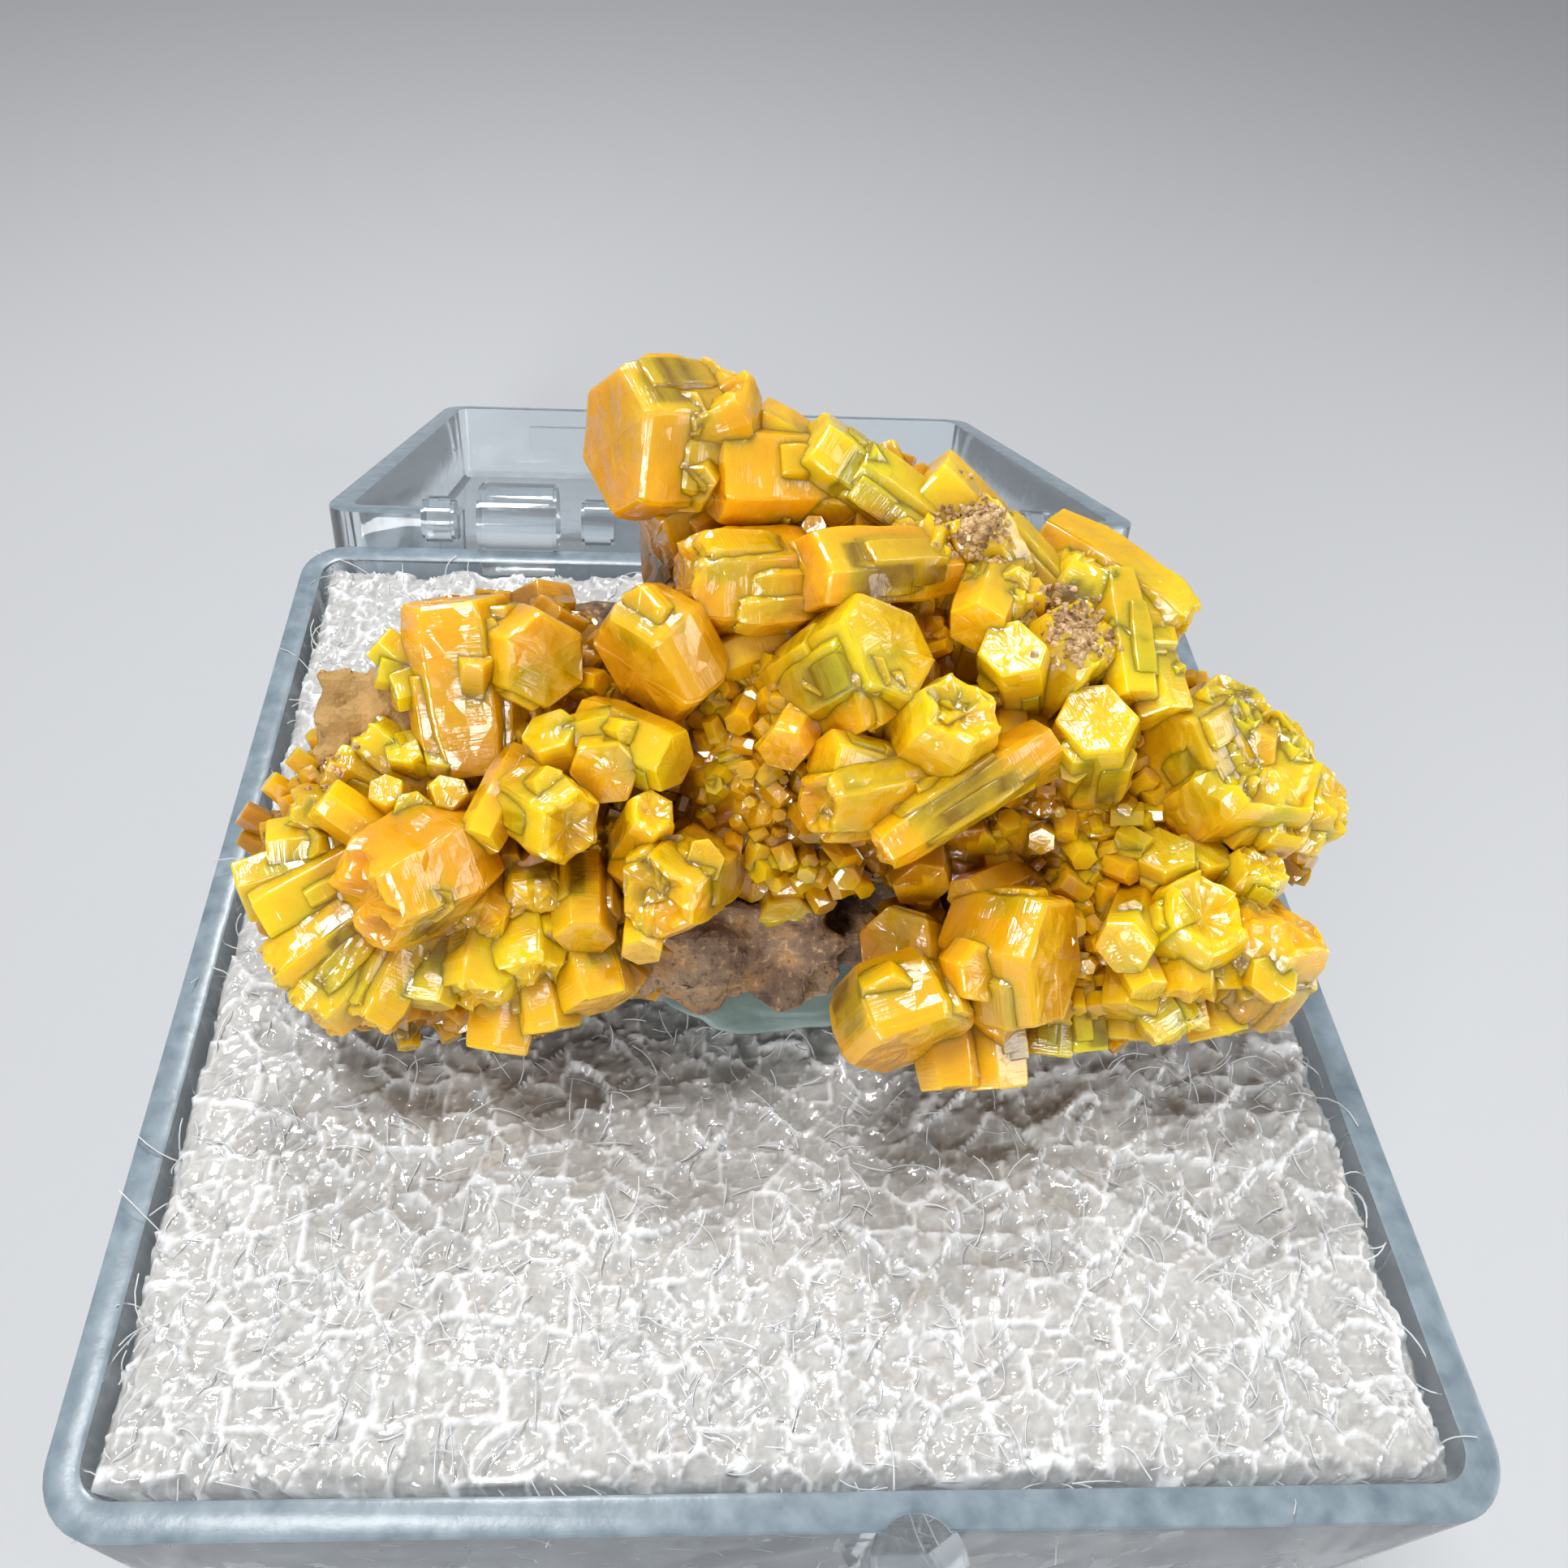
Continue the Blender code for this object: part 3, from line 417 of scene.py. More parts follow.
RIGHT_WING = read_rows("""
wing_plate 11.5 1.3 1.5 62 60 3.4 3.0 0 rough yellow
wing_inner 9.4 1.1 0.9 205 28 2.6 2.8 30 flat orange
wing_top 10.9 2.8 1.0 72 42 1.9 2.8 30 rough lime
wing_mid 12.5 1.9 0.8 50 40 1.6 2.6 0 rough yellow
wing_tip 13.6 0.4 0.7 15 42 1.8 2.8 20 rough yellow
wing_low 13.4 -0.7 0.4 325 25 1.4 2.6 0 rough lime
wing_foot 11.7 -0.5 1.1 292 42 1.8 3.0 30 flat amber
""")
LOWER_RIGHT = read_rows("""
upright_tablet 6.2 -3.45 2.1 355 40 3.0 2.4 0 flat orange
edge_tablet 2.9 -5.5 2.0 288 32 2.7 1.9 30 flat orange
bottom_block 3.9 -6.6 1.4 275 18 1.4 3.4 30 flat orange
bottom_prism 5.1 -6.7 0.9 276 12 1.5 3.6 0 flat amber
orange_flat 2.6 -3.2 1.4 150 48 2.0 3.0 10 flat orange
small_white 3.6 -3.6 1.9 70 40 0.9 2.4 30 flat amber
small_orange 4.2 -2.1 1.3 195 40 1.0 2.6 0 flat orange
group_hopper 9.7 -2.3 2.2 85 58 2.3 3.6 0 hopper yellow
group_top_a 9.1 -0.9 1.1 110 42 1.4 2.6 30 flat green
group_top_b 10.2 -0.9 1.0 75 42 1.2 2.6 0 flat green
group_top_c 11.4 -1.2 1.4 70 45 1.5 2.8 20 rough lime
group_yellow 7.8 -3.2 2.0 220 52 1.3 3.0 30 flat yellow
group_point 8.5 -4.2 1.9 282 42 0.9 2.6 0 flat yellow
group_low 9.5 -4.4 1.7 268 25 1.5 3.4 30 rough amber
lump_low 9.6 -5.4 1.1 295 25 1.5 3.0 0 rough yellow
lump_left 8.3 -4.9 1.0 252 25 1.4 2.8 30 flat yellow
barrel_corner 11.8 -2.6 1.8 76 40 2.3 3.2 0 rough amber
barrel_under 11.8 -4.6 1.0 280 25 2.0 2.6 0 flat amber
corner_chip 10.9 -5.5 0.4 285 15 1.5 3.2 20 flat yellow
fringe_a 6.6 -6.1 0.0 265 10 1.3 3.2 0 flat green
fringe_b 7.6 -6.0 0.0 276 10 1.3 3.2 30 flat green
fringe_c 8.6 -5.7 0.1 268 12 1.2 3.0 15 flat green
recess_a 5.8 -1.0 0.1 270 60 1.8 2.4 0 flat amber
recess_b 7.6 -0.8 0.0 60 68 1.8 2.4 20 flat lime
recess_c 3.3 -1.9 0.7 262 55 1.4 3.0 30 flat amber
recess_d 4.6 -1.2 0.0 250 60 1.6 2.4 0 flat amber
""")
BACK = read_rows("""
back_a -6.2 5.4 -3.0 100 -25 1.8 2.8 0 flat yellow
back_b -2.5 7.6 -2.8 95 -30 2.0 3.0 30 flat yellow
back_c 1.3 8.8 -2.8 88 -30 2.2 3.4 15 hopper yellow
back_d 5.0 7.4 -2.6 80 -30 1.8 3.0 0 flat lime
back_e 8.8 5.0 -2.4 55 -25 2.0 3.2 30 flat lime
back_f 12.0 2.2 -2.0 25 -22 1.6 2.8 10 flat lime
back_g 12.8 -1.6 -1.8 350 -18 1.6 2.8 0 flat lime
back_h -12.0 -0.8 -2.0 178 -20 1.6 2.8 20 flat lime
""")

# %% [markdown]
# A crystal's mesh is a polar grid. Six flat sides at slightly different distances give an uneven hexagon
# with crisp corners; ledges run round it, narrow strips stand a little proud or set back, and the end is
# either nearly flat or a stepped hollow. Random choices come from one seeded generator for each crystal, so
# the cluster is the same every run.

# %% crystal builder
SIDES = 6
INNER_STEPS = (0.2, 0.4, 0.6, 0.8)
CORNER_TRIM = 0.045
ROW_GAP = 0.24
END_RINGS = (0.94, 0.8, 0.64, 0.46, 0.24)
UNEVEN = 0.13
STRIP_COUNT = 7
ROUGH_STRIP_COUNT = 3
LEDGES = 5


def hexagon_outline(rng, apothem):
    """Angles and distances of an uneven hexagon, with a small trim at each corner."""
    offsets = apothem * (1.0 + rng.uniform(-UNEVEN, UNEVEN, SIDES))
    facing = np.arange(SIDES) * math.pi / 3 + math.pi / 6
    corners = []
    for side in range(SIDES):
        pair = [side - 1, side]
        normals = np.array([[math.cos(facing[k]), math.sin(facing[k])] for k in pair])
        corners.append(np.linalg.solve(normals, offsets[pair]))
    angles = []
    radii = []
    for side in range(SIDES):
        start, stop = corners[side], corners[(side + 1) % SIDES]
        for share in (0.0, CORNER_TRIM, *INNER_STEPS, 1.0 - CORNER_TRIM):
            point = start + (stop - start) * share
            if share == 0.0:
                point = point * (1.0 - CORNER_TRIM * 0.55)
            angles.append(math.atan2(point[1], point[0]))
            radii.append(math.hypot(*point))
    return np.array(angles), np.array(radii)


def crystal_mesh(tip, outward, width, length, spin, kind, seed):
    """Points, faces, UV numbers and root shares of one crystal, in millimetres."""
    rng = np.random.default_rng(seed)
    side = (FACE_W - outward * FACE_W.dot(outward)).normalized()
    across = outward.cross(side)
    axes = np.array([side, across, outward])
    angles, radii = hexagon_outline(rng, width / 2)
    angles = angles + math.radians(spin)
    count = len(angles)
    rough = kind in ("rough", "hopper")
    strips = np.zeros(count)
    lifts = np.zeros(count)
    step = ROUGH_STRIP_COUNT if rough else STRIP_COUNT
    for first in range(0, count, step):
        strips[first:first + step] = rng.uniform(-0.05, 0.01) if rough else rng.uniform(-0.02, 0.0)
        lifts[first:first + step] = rng.uniform(-0.09, 0.02) if rough else rng.uniform(-0.02, 0.01)
    rows = max(4, min(15, int(0.75 * length / ROW_GAP)))
    depths = np.concatenate(([0.0, 0.035 * width], np.linspace(0.12 * width, 0.78 * length, rows), [length]))
    ledge_at = np.sort(rng.uniform(0.05, 0.7, LEDGES)) * length
    ledge_by = np.cumsum(rng.uniform(-0.02, 0.032 if rough else 0.014, LEDGES))
    end_wide = 0.86 if rough else 0.93
    points = []
    uvs = []
    roots = []
    for depth in depths:
        taper = np.interp(depth / length, (0.0, 0.16, 0.72, 1.0), (end_wide, 1.0, 1.0, 0.8))
        if depth == 0.0:
            taper *= 0.965
        ledge = ledge_by[np.searchsorted(ledge_at, depth) - 1] if depth > ledge_at[0] else 0.0
        pits = rng.uniform(-0.022, 0.012, count) if rough else rng.uniform(-0.004, 0.004, count)
        radius = radii * taper * (1.0 + strips + ledge + pits)
        height = -depth + lifts * width * max(0.0, 1.0 - depth / (0.4 * length))
        level = np.broadcast_to(height, count)
        points.append(np.stack((radius * np.cos(angles), radius * np.sin(angles), level), 1))
        uvs.append(np.stack((np.unwrap(angles) * width / 2, np.full(count, -depth)), 1))
        roots.append(np.full(count, depth / length))
    cap = []
    edge = points[0]
    for scale in END_RINGS:
        ring = edge * (scale, scale, 1.0)
        for index in range(count):
            x, y, z = ring[index]
            bump = noise.noise(Vector((x * 2.1 / width, y * 2.1 / width, seed * 0.37)) * 2.2)
            if kind == "hopper":
                well = max(0.0, (0.84 - scale) / 0.6)
                z = z * scale - 0.15 * width * round(well * 3.0) / 3.0
                z += 0.035 * width * round(bump * 5.0) / 2.0
            elif kind == "rough":
                z = z * scale + 0.05 * width * round(bump * 6.0) / 2.0
            else:
                z = z * scale + 0.008 * width * round(bump * 3.0)
            ring[index, 2] = z
        cap.append(ring)
        uvs.insert(0, np.stack((ring[:, 0] + 7.0, ring[:, 1]), 1))
        roots.insert(0, np.zeros(count))
    rings = cap[::-1] + points
    flat = np.concatenate(rings)
    centre = flat[:count].mean(0)
    bottom = flat[-count:].mean(0)
    flat = np.concatenate((flat, [centre, bottom]))
    uv = np.concatenate(uvs + [[[centre[0] + 7.0, centre[1]], [0.0, -length]]])
    root = np.concatenate(roots + [[0.0, 1.0]])
    world = np.array(tip) + flat @ axes
    faces = ring_faces(len(rings), count)
    last = (len(rings) - 1) * count
    for index in range(count):
        following = (index + 1) % count
        faces.append((len(flat) - 2, index, following))
        faces.append((len(flat) - 1, last + following, last + index))
    return world, faces, uv, root


# %% [markdown]
# Round each big crystal stand a few thinner ones that grew with it, a little askew and a little lower. They
# are made by the same builder from the parent's row, and everything of one region is joined in one piece.

# %% crystals by region
COMPANY_WIDTH = 1.25


def companions(rng, tip, outward, width, length):
    """Rows for the crystals that grew with a big one: parallel ones set back, and small ones askew."""
    side = outward.orthogonal().normalized()
    across = outward.cross(side)
    rows = []
    parallel = int(rng.integers(3, 6))
    for number in range(parallel + int(rng.integers(1, 3))):
        angle = rng.uniform(0.0, 2.0 * math.pi)
        away = side * math.cos(angle) + across * math.sin(angle)
        if number < parallel:
            slim = width * rng.uniform(0.42, 0.72)
            lean = outward + away * rng.uniform(-0.05, 0.05)
            start = away * (width * rng.uniform(0.5, 0.6) - slim / 2)
            start -= outward * rng.uniform(0.03, 0.4) * length
            rows.append((Vector(tip) + start, lean.normalized(), slim, length * 0.55, True))
        else:
            slim = width * rng.uniform(0.3, 0.5)
            lean = outward + away * rng.uniform(0.3, 1.4)
            start = away * (width * 0.5 + slim * 0.1) - outward * rng.uniform(0.2, 0.5) * length
            rows.append((Vector(tip) + start, lean.normalized(), slim, length * 0.4, False))
    return rows


def build_region(name, table, seed):
    """One piece from the rows of a region."""
    rng = np.random.default_rng(seed)
    points, faces, uvs, roots, tints = [], [], [], [], []
    total = 0
    for number, (_, u, v, w, turn, rise, width, length, spin, kind, tint) in enumerate(table):
        tip = on_face(u, v, w)
        outward = way_on_face(turn, rise)
        shade = TINTS[tint] + rng.uniform(-0.06, 0.06)
        made = [crystal_mesh(tip, outward, width, length, spin, kind, seed * 100 + number)]
        if width > COMPANY_WIDTH:
            for start, lean, slim, short, aligned in companions(rng, tip, outward, width, length):
                turned = spin + rng.uniform(-3, 3) if aligned else rng.uniform(0, 60)
                manner = kind if aligned else "flat"
                made.append(crystal_mesh(start, lean, slim, short, turned, manner, int(rng.integers(1e6))))
        for world, rows, uv, root in made:
            points.append(world)
            faces.extend([tuple(corner + total for corner in row) for row in rows])
            uvs.append(uv)
            roots.append(root)
            tints.append(np.full(len(world), shade + rng.uniform(-0.05, 0.05)))
            total += len(world)
    item = add_piece(name, np.concatenate(points), faces, pyromorphite)
    add_point_values(item, "tint", np.concatenate(tints))
    add_point_values(item, "root", np.concatenate(roots))
    layer = item.data.uv_layers.new(name="growth")
    corners = np.zeros(len(item.data.loops), np.int32)
    item.data.loops.foreach_get("vertex_index", corners)
    layer.data.foreach_set("uv", np.concatenate(uvs)[corners].astype(np.float32).ravel())
    print(name, len(item.data.polygons), "faces")
    return item


crystal_pieces = [
    build_region("crystals_crown", CROWN + BACK, 1),
    build_region("crystals_left", UPPER_LEFT + LEFT, 2),
    build_region("crystals_middle", CENTRE_LEFT + CENTRE, 3),
    build_region("crystals_right", UPPER_RIGHT + RIGHT_WING, 4),
    build_region("crystals_lower", LOWER_RIGHT, 5),
]

# %% [markdown]
# The big crystals stand on a crystalline mass, and every gap between them is lined with tiny crystals, a
# druse. The mass is a few rough lumps merged by a voxel remesh. The druse repeats one small form hundreds
# of times, so Geometry Nodes do it: points spread over the mass, a six-sided prism on each, turned along
# the surface with some lean, in random sizes.

# %% crystalline mass
PEBBLE_MM = 1.1
MASS_LUMPS = [
    ((-7.4, -1.4, -2.0), (5.6, 4.4, 2.0)),
    ((-6.6, 2.2, -1.8), (3.7, 2.6, 1.8)),
    ((1.2, 2.6, -1.2), (5.4, 4.6, 2.4)),
    ((1.4, 7.0, -1.8), (3.4, 2.1, 1.5)),
    ((8.4, 0.4, -1.5), (4.5, 3.8, 2.0)),
    ((7.4, -3.4, -0.9), (4.7, 2.1, 1.7)),
    ((11.6, 0.2, -1.2), (2.0, 2.3, 1.3)),
]


def build_lumps(name, lumps, detail, bump_mm, bump_size, voxel_mm, squareness=0.0):
    """Merge rough ellipsoids, turned with the display face, in one skin by a voxel remesh."""
    shape = bmesh.new()
    for centre, sizes, *calm in lumps:
        middle = on_face(*centre)
        amount = bump_mm * (calm[0] if calm else 1.0)
        made = bmesh.ops.create_icosphere(shape, subdivisions=detail, radius=1.0)
        for vert in made["verts"]:
            vert.co /= max(abs(value) for value in vert.co) ** squareness
            bump = amount * noise.noise(vert.co * 2.3 + middle)
            bump += 0.4 * amount * noise.noise(vert.co * bump_size + middle)
            u, v, w = (vert.co[axis] * (sizes[axis] + bump) for axis in range(3))
            vert.co = (middle + FACE_U * u + FACE_V * v + FACE_W * w) * MM
    item = free_to_object(shape, name)
    remesh = item.modifiers.new("merge", "REMESH")
    remesh.mode = "VOXEL"
    remesh.voxel_size = voxel_mm * MM
    bake_modifiers(item)
    return item


def bake_modifiers(item):
    """Replace an object's mesh by what its modifiers make of it, and drop them."""
    item.data = bpy.data.meshes.new_from_object(item.evaluated_get(bpy.context.evaluated_depsgraph_get()))
    item.modifiers.clear()


def pebbled(place, normal):
    """Raise the middle of each cell of a Voronoi pattern, and sink its borders."""
    near, far = noise.voronoi(place / (PEBBLE_MM * MM))[0][:2]
    return place + normal * (min(far - near, 0.45) * 0.8 - 0.3) * MM


crystal_mass = build_lumps("crystal_mass", MASS_LUMPS, 4, 0.5, 7.0, 0.2)
move_points(crystal_mass, pebbled)
crystal_mass.data.materials.append(pyromorphite)
add_point_values(crystal_mass, "tint", np.full(len(crystal_mass.data.vertices), TINTS["yellow"]))
# A root share of 0.8 gives the mass, which lies under the crystals, its painted amber shade.
add_point_values(crystal_mass, "root", np.full(len(crystal_mass.data.vertices), 0.8))
print("crystal mass", len(crystal_mass.data.polygons), "faces")


# %% druse by Geometry Nodes
def new_tree(name, numbers):
    """Geometry node group with a mesh, some numbers and a material in, and a mesh out."""
    tree = bpy.data.node_groups.new(name, "GeometryNodeTree")
    kinds = {"Mesh": "Geometry", **{label: "Float" for label in numbers}, "Material": "Material"}
    for label, kind in kinds.items():
        tree.interface.new_socket(label, in_out="INPUT", socket_type="NodeSocket" + kind)
    tree.interface.new_socket("Mesh", in_out="OUTPUT", socket_type="NodeSocketGeometry")
    return tree, tree.nodes.new("NodeGroupInput").outputs


def random_value(tree, kind, low, high, seed):
    """Random Value node with a fixed seed. The socket order differs with the kind."""
    first, output = {"FLOAT_VECTOR": (0, 0), "FLOAT": (2, 1)}[kind]
    values = {"Seed": seed, first: low, first + 1: high}
    return add_node(tree, "FunctionNodeRandomValue", values, data_type=kind).outputs[output]


def scaled_value(tree, number, low, high, seed):
    """A number times a random one."""
    values = {0: number, 1: random_value(tree, "FLOAT", low, high, seed)}
    return add_node(tree, "ShaderNodeMath", values, operation="MULTIPLY").outputs[0]


def end_tree(tree, geometry, material):
    """Set the material last and send the geometry out."""
    coat = add_node(tree, "GeometryNodeSetMaterial", {"Geometry": geometry, "Material": material})
    add_node(tree, "NodeGroupOutput", {"Mesh": coat.outputs["Geometry"]})


def make_druse_tree():
    tree, given = new_tree("Druse", ["Spacing", "Width"])
    spread = add_node(tree, "GeometryNodeDistributePointsOnFaces", {
        "Mesh": given["Mesh"],
        "Distance Min": given["Spacing"],
        "Density Max": 4.0e6,
        "Seed": 11,
    }, distribute_method="POISSON").outputs
    prism = add_node(tree, "GeometryNodeMeshCone", {
        "Vertices": SIDES,
        "Radius Top": 0.42,
        "Radius Bottom": 0.5,
        "Depth": 1.0,
    }).outputs
    tilt = random_value(tree, "FLOAT_VECTOR", (-0.9, -0.9, 0.0), (0.9, 0.9, 6.0), 21)
    turn = add_node(tree, "FunctionNodeEulerToRotation", {"Euler": tilt}).outputs
    lean = add_node(tree, "FunctionNodeRotateRotation", {
        "Rotation": spread["Rotation"],
        "Rotate By": turn["Rotation"],
    }, rotation_space="LOCAL").outputs
    grown = add_node(tree, "GeometryNodeInstanceOnPoints", {
        "Points": spread["Points"],
        "Instance": prism["Mesh"],
        "Rotation": lean["Rotation"],
        "Scale": scaled_value(tree, given["Width"], 0.5, 1.5, 31),
    }).outputs["Instances"]
    # The root number paints amber shade on the little crystals in the gaps, more on some than others.
    for label, low, high, seed in (("tint", 0.25, 0.9, 41), ("root", 0.35, 0.85, 51)):
        grown = add_node(tree, "GeometryNodeStoreNamedAttribute", {
            "Geometry": grown,
            "Name": label,
            "Value": random_value(tree, "FLOAT", low, high, seed),
        }, domain="INSTANCE", data_type="FLOAT").outputs["Geometry"]
    real = add_node(tree, "GeometryNodeRealizeInstances", {"Geometry": grown}).outputs
    end_tree(tree, real["Geometry"], given["Material"])
    return tree


def grow(name, source, tree, values):
    """Run a node tree over a copy of a mesh and keep the result as a plain piece."""
    item = link_object(name, source.data.copy())
    nodes = item.modifiers.new("grow", "NODES")
    nodes.node_group = tree
    for socket in tree.interface.items_tree:
        if socket.in_out == "INPUT" and socket.name in values:
            nodes[socket.identifier] = values[socket.name]
    bake_modifiers(item)
    print(name, len(item.data.polygons), "faces")
    return item


druse = grow("crystal_druse", crystal_mass, make_druse_tree(), {
    "Spacing": 0.28 * MM,
    "Width": 0.55 * MM,
    "Material": pyromorphite,
})

# %% [markdown]
# Light that reaches the gaps has passed through crystal and is deeper in colour, so that shade is painted
# into the finish. Each point of the crystals stores how far it lies below its surroundings on the display
# side, and the finish paints it amber, and brown where it lies deepest. A grid of the highest points,
# widened by its neighbours, gives the surroundings.

# %% painted shade in the hollows
HOLLOW_CELL = 0.25
HOLLOW_REACH = 2
HOLLOW_DEPTH = 1.1
FAR_SIDE = 6.0


def paint_hollow_shade(pieces):
    """Store with each point how deep it lies in a gap, from 0 to 1, which the finish turns into painted
    shade.
    """
    clouds = []
    for item in pieces:
        points = np.zeros(len(item.data.vertices) * 3, np.float32)
        item.data.vertices.foreach_get("co", points)
        clouds.append(points.reshape(-1, 3) / MM)
    axes = np.array([FACE_U, FACE_V, FACE_W]).T
    placed = [points @ axes for points in clouds]
    every = np.concatenate(placed)
    low = every.min(0)[:2]
    columns, rows = ((every.max(0)[:2] - low) / HOLLOW_CELL).astype(int) + 1
    cells = [((points[:, :2] - low) / HOLLOW_CELL).astype(int) for points in placed]
    top = np.full((columns, rows), every[:, 2].min())
    for points, cell in zip(placed, cells):
        np.maximum.at(top, (cell[:, 0], cell[:, 1]), points[:, 2])
    wide = top.copy()
    for across in range(-HOLLOW_REACH, HOLLOW_REACH + 1):
        for along in range(-HOLLOW_REACH, HOLLOW_REACH + 1):
            wide = np.maximum(wide, np.roll(top, (across, along), (0, 1)))
    for item, points, cell in zip(pieces, placed, cells):
        depth = wide[cell[:, 0], cell[:, 1]] - points[:, 2]
        hollow = 1.0 - np.exp(-depth / HOLLOW_DEPTH)
        hollow = np.where(depth > FAR_SIDE, 0.3, hollow)
        add_point_values(item, "hollow", hollow)


paint_hollow_shade([*crystal_pieces, crystal_mass, druse])

# %% [markdown]
# The matrix is the brown rock that carries the crystals. It shows under the arch, at the left edge and all
# over the back. It is built from the same lumps as the solid that it stands for, merged finely and
# roughened.

# %% matrix rock
ROCK_LUMPS = [
    ((-0.2, 0.4, -4.6), (11.4, 5.0, 1.9)),
    ((1.4, 5.0, -4.3), (5.0, 3.0, 1.6)),
    ((-10.2, 2.0, -2.0), (1.5, 1.3, 1.7), 0.6),
    ((-1.4, -3.5, -2.6), (3.2, 1.5, 1.5)),
    ((0.4, -0.8, -6.6), (6.0, 2.8, 2.2)),
]


def make_rock():
    made, tree, shader, place = start_material("brown_matrix")
    colour = add_ramp(tree, add_noise(tree, place, 2.2, 5.0, 0.6), [
        (0.3, (0.13, 0.08, 0.05)),
        (0.45, (0.27, 0.17, 0.11)),
        (0.6, (0.46, 0.33, 0.22)),
        (0.75, (0.56, 0.46, 0.36)),
    ])
    grit = add_noise(tree, place, 0.22, 6.0, 0.7)
    along = add_node(tree, "ShaderNodeSeparateXYZ", {"Vector": place}).outputs["X"]
    for share, other in (
        (map_range(tree, add_noise(tree, place, 1.1, 3.0), 0.5, 0.65, 0.0, 0.55), (0.60, 0.28, 0.05)),
        (map_range(tree, grit, 0.56, 0.66, 0.0, 0.8), (0.72, 0.50, 0.26)),
        (map_range(tree, grit, 0.34, 0.44, 0.75, 0.0), (0.05, 0.025, 0.012)),
        (map_range(tree, along, -9.4 * MM, -8.4 * MM, 0.75, 0.0), (0.60, 0.36, 0.11)),
    ):
        colour = mix_colour(tree, share, colour, other)
    feed(tree, shader, {"Base Color": colour, "Normal": add_bump(tree, grit, 0.9, 0.15), "Roughness": 0.82})
    return made


def rugged(place, normal):
    """Roughen the rock, and keep it above the foam."""
    rough = noise.noise(place * 900.0) * 0.22 + noise.noise(place * 2600.0) * 0.1
    moved = place + normal * rough * MM
    return moved.x, moved.y, max(moved.z, (RIM + 0.5) * MM)


rock = build_lumps("matrix_rock", ROCK_LUMPS, 5, 0.9, 9.0, 0.16, 0.45)
move_points(rock, rugged)
rock.data.materials.append(make_rock())
print("matrix rock", len(rock.data.polygons), "faces")

# %% [markdown]
# Sandy dirt clings to three places on the crystals. Rays sent down on the display face find the surface
# there, and a small crumb is set on each hit.

# %% dirt crumbs
DIRT_PATCHES = [
    ((4.5, 6.8), (0.9, 0.8), 260),
    ((6.6, 4.3), (1.0, 1.0), 320),
    ((-11.7, 1.2), (1.1, 0.9), 160),
]
CRUMB_MM = (0.05, 0.12)


def surface_tree(items):
    """Search tree over the triangles of several pieces, in metres."""
    points = []
    faces = []
    for item in items:
        start = len(points)
        points.extend([vert.co.copy() for vert in item.data.vertices])
        faces.extend([tuple(start + corner for corner in face.vertices) for face in item.data.polygons])
    return BVHTree.FromPolygons(points, faces)


def build_dirt(finish):
    """Crumbs of dirt, thickest in the middle of each patch."""
    rng = np.random.default_rng(77)
    search = surface_tree(crystal_pieces)
    shape = bmesh.new()
    for (u, v), (half_u, half_v), count in DIRT_PATCHES:
        for _ in range(count):
            angle, away = rng.uniform(0, 2 * math.pi), rng.normal(0.0, 0.55)
            above = on_face(u + half_u * away * math.cos(angle), v + half_v * away * math.sin(angle), 9.0)
            hit = search.ray_cast(above * MM, -FACE_W)[0]
            if hit is None:
                continue
            size = rng.uniform(*CRUMB_MM) * MM
            turn = Matrix.Rotation(rng.uniform(0, 6.0), 4, Vector(rng.normal(size=3)))
            place = Matrix.Translation(hit) @ turn
            made = bmesh.ops.create_icosphere(shape, subdivisions=1, radius=size, matrix=place)
            for vert in made["verts"]:
                vert.co += Vector(rng.normal(0.0, 0.2 * size, 3))
    print("dirt", len(shape.faces), "faces")
    return free_to_object(shape, "dirt_crumbs", finish)


DIRT_COLOURS = [
    (0.35, (0.16, 0.08, 0.03)),
    (0.5, (0.45, 0.28, 0.12)),
    (0.65, (0.70, 0.52, 0.30)),
]
dirt = build_dirt(plain_finish("sandy_dirt", (0.3, 4.0, 0.7), DIRT_COLOURS, None, {"Roughness": 0.8}))

# %% [markdown]
# A dab of teal putty holds the rock to the foam. It is soft and slightly greasy, with the dents of a
# fingertip.

# %% putty
PUTTY_COLOURS = [(0.3, (0.22, 0.32, 0.31)), (0.7, (0.36, 0.46, 0.44))]
putty_finish = plain_finish("teal_putty", (1.5,), PUTTY_COLOURS, (0.7, 3.0, 0.5, 0.1), {
    "Roughness": 0.5,
    "Subsurface Weight": 0.2,
    "Subsurface Scale": 0.4 * MM,
})
PUTTY_CENTRE = (0.2, -1.4, RIM - 0.35)
PUTTY_SIZE = (3.6, 2.5, 0.55)
putty_shape = bmesh.new()
bmesh.ops.create_icosphere(putty_shape, subdivisions=5, radius=1.0)
for vert in putty_shape.verts:
    wobble = 1.0 + 0.12 * noise.noise(vert.co * 1.7) + 0.04 * noise.noise(vert.co * 5.0)
    vert.co = Vector([(PUTTY_CENTRE[k] + vert.co[k] * PUTTY_SIZE[k] * wobble) * MM for k in range(3)])
putty = free_to_object(putty_shape, "putty_dab", putty_finish, smooth=True)

# %% [markdown]
# The foam is a block of clear plastic film bubbles, about a millimetre across. Its top is a height field:
# each point is low in the middle of its bubble and rises to a thin ridge where two bubbles meet. Where the
# block was cut, the film is torn into loose fibres, which Geometry Nodes scatter over the surface.

# %% foam block
FOAM_HALF = 15.0
FOAM_TOP = RIM - 0.3
FOAM_LOW = 1.3
FOAM_STEP = 0.11
FOAM_LEVELS = 16
CELL_MM = 1.05
DIP_CENTRE = (0.0, -1.0)
DIP_RADIUS = 9.0
DIP_DEPTH = 1.3


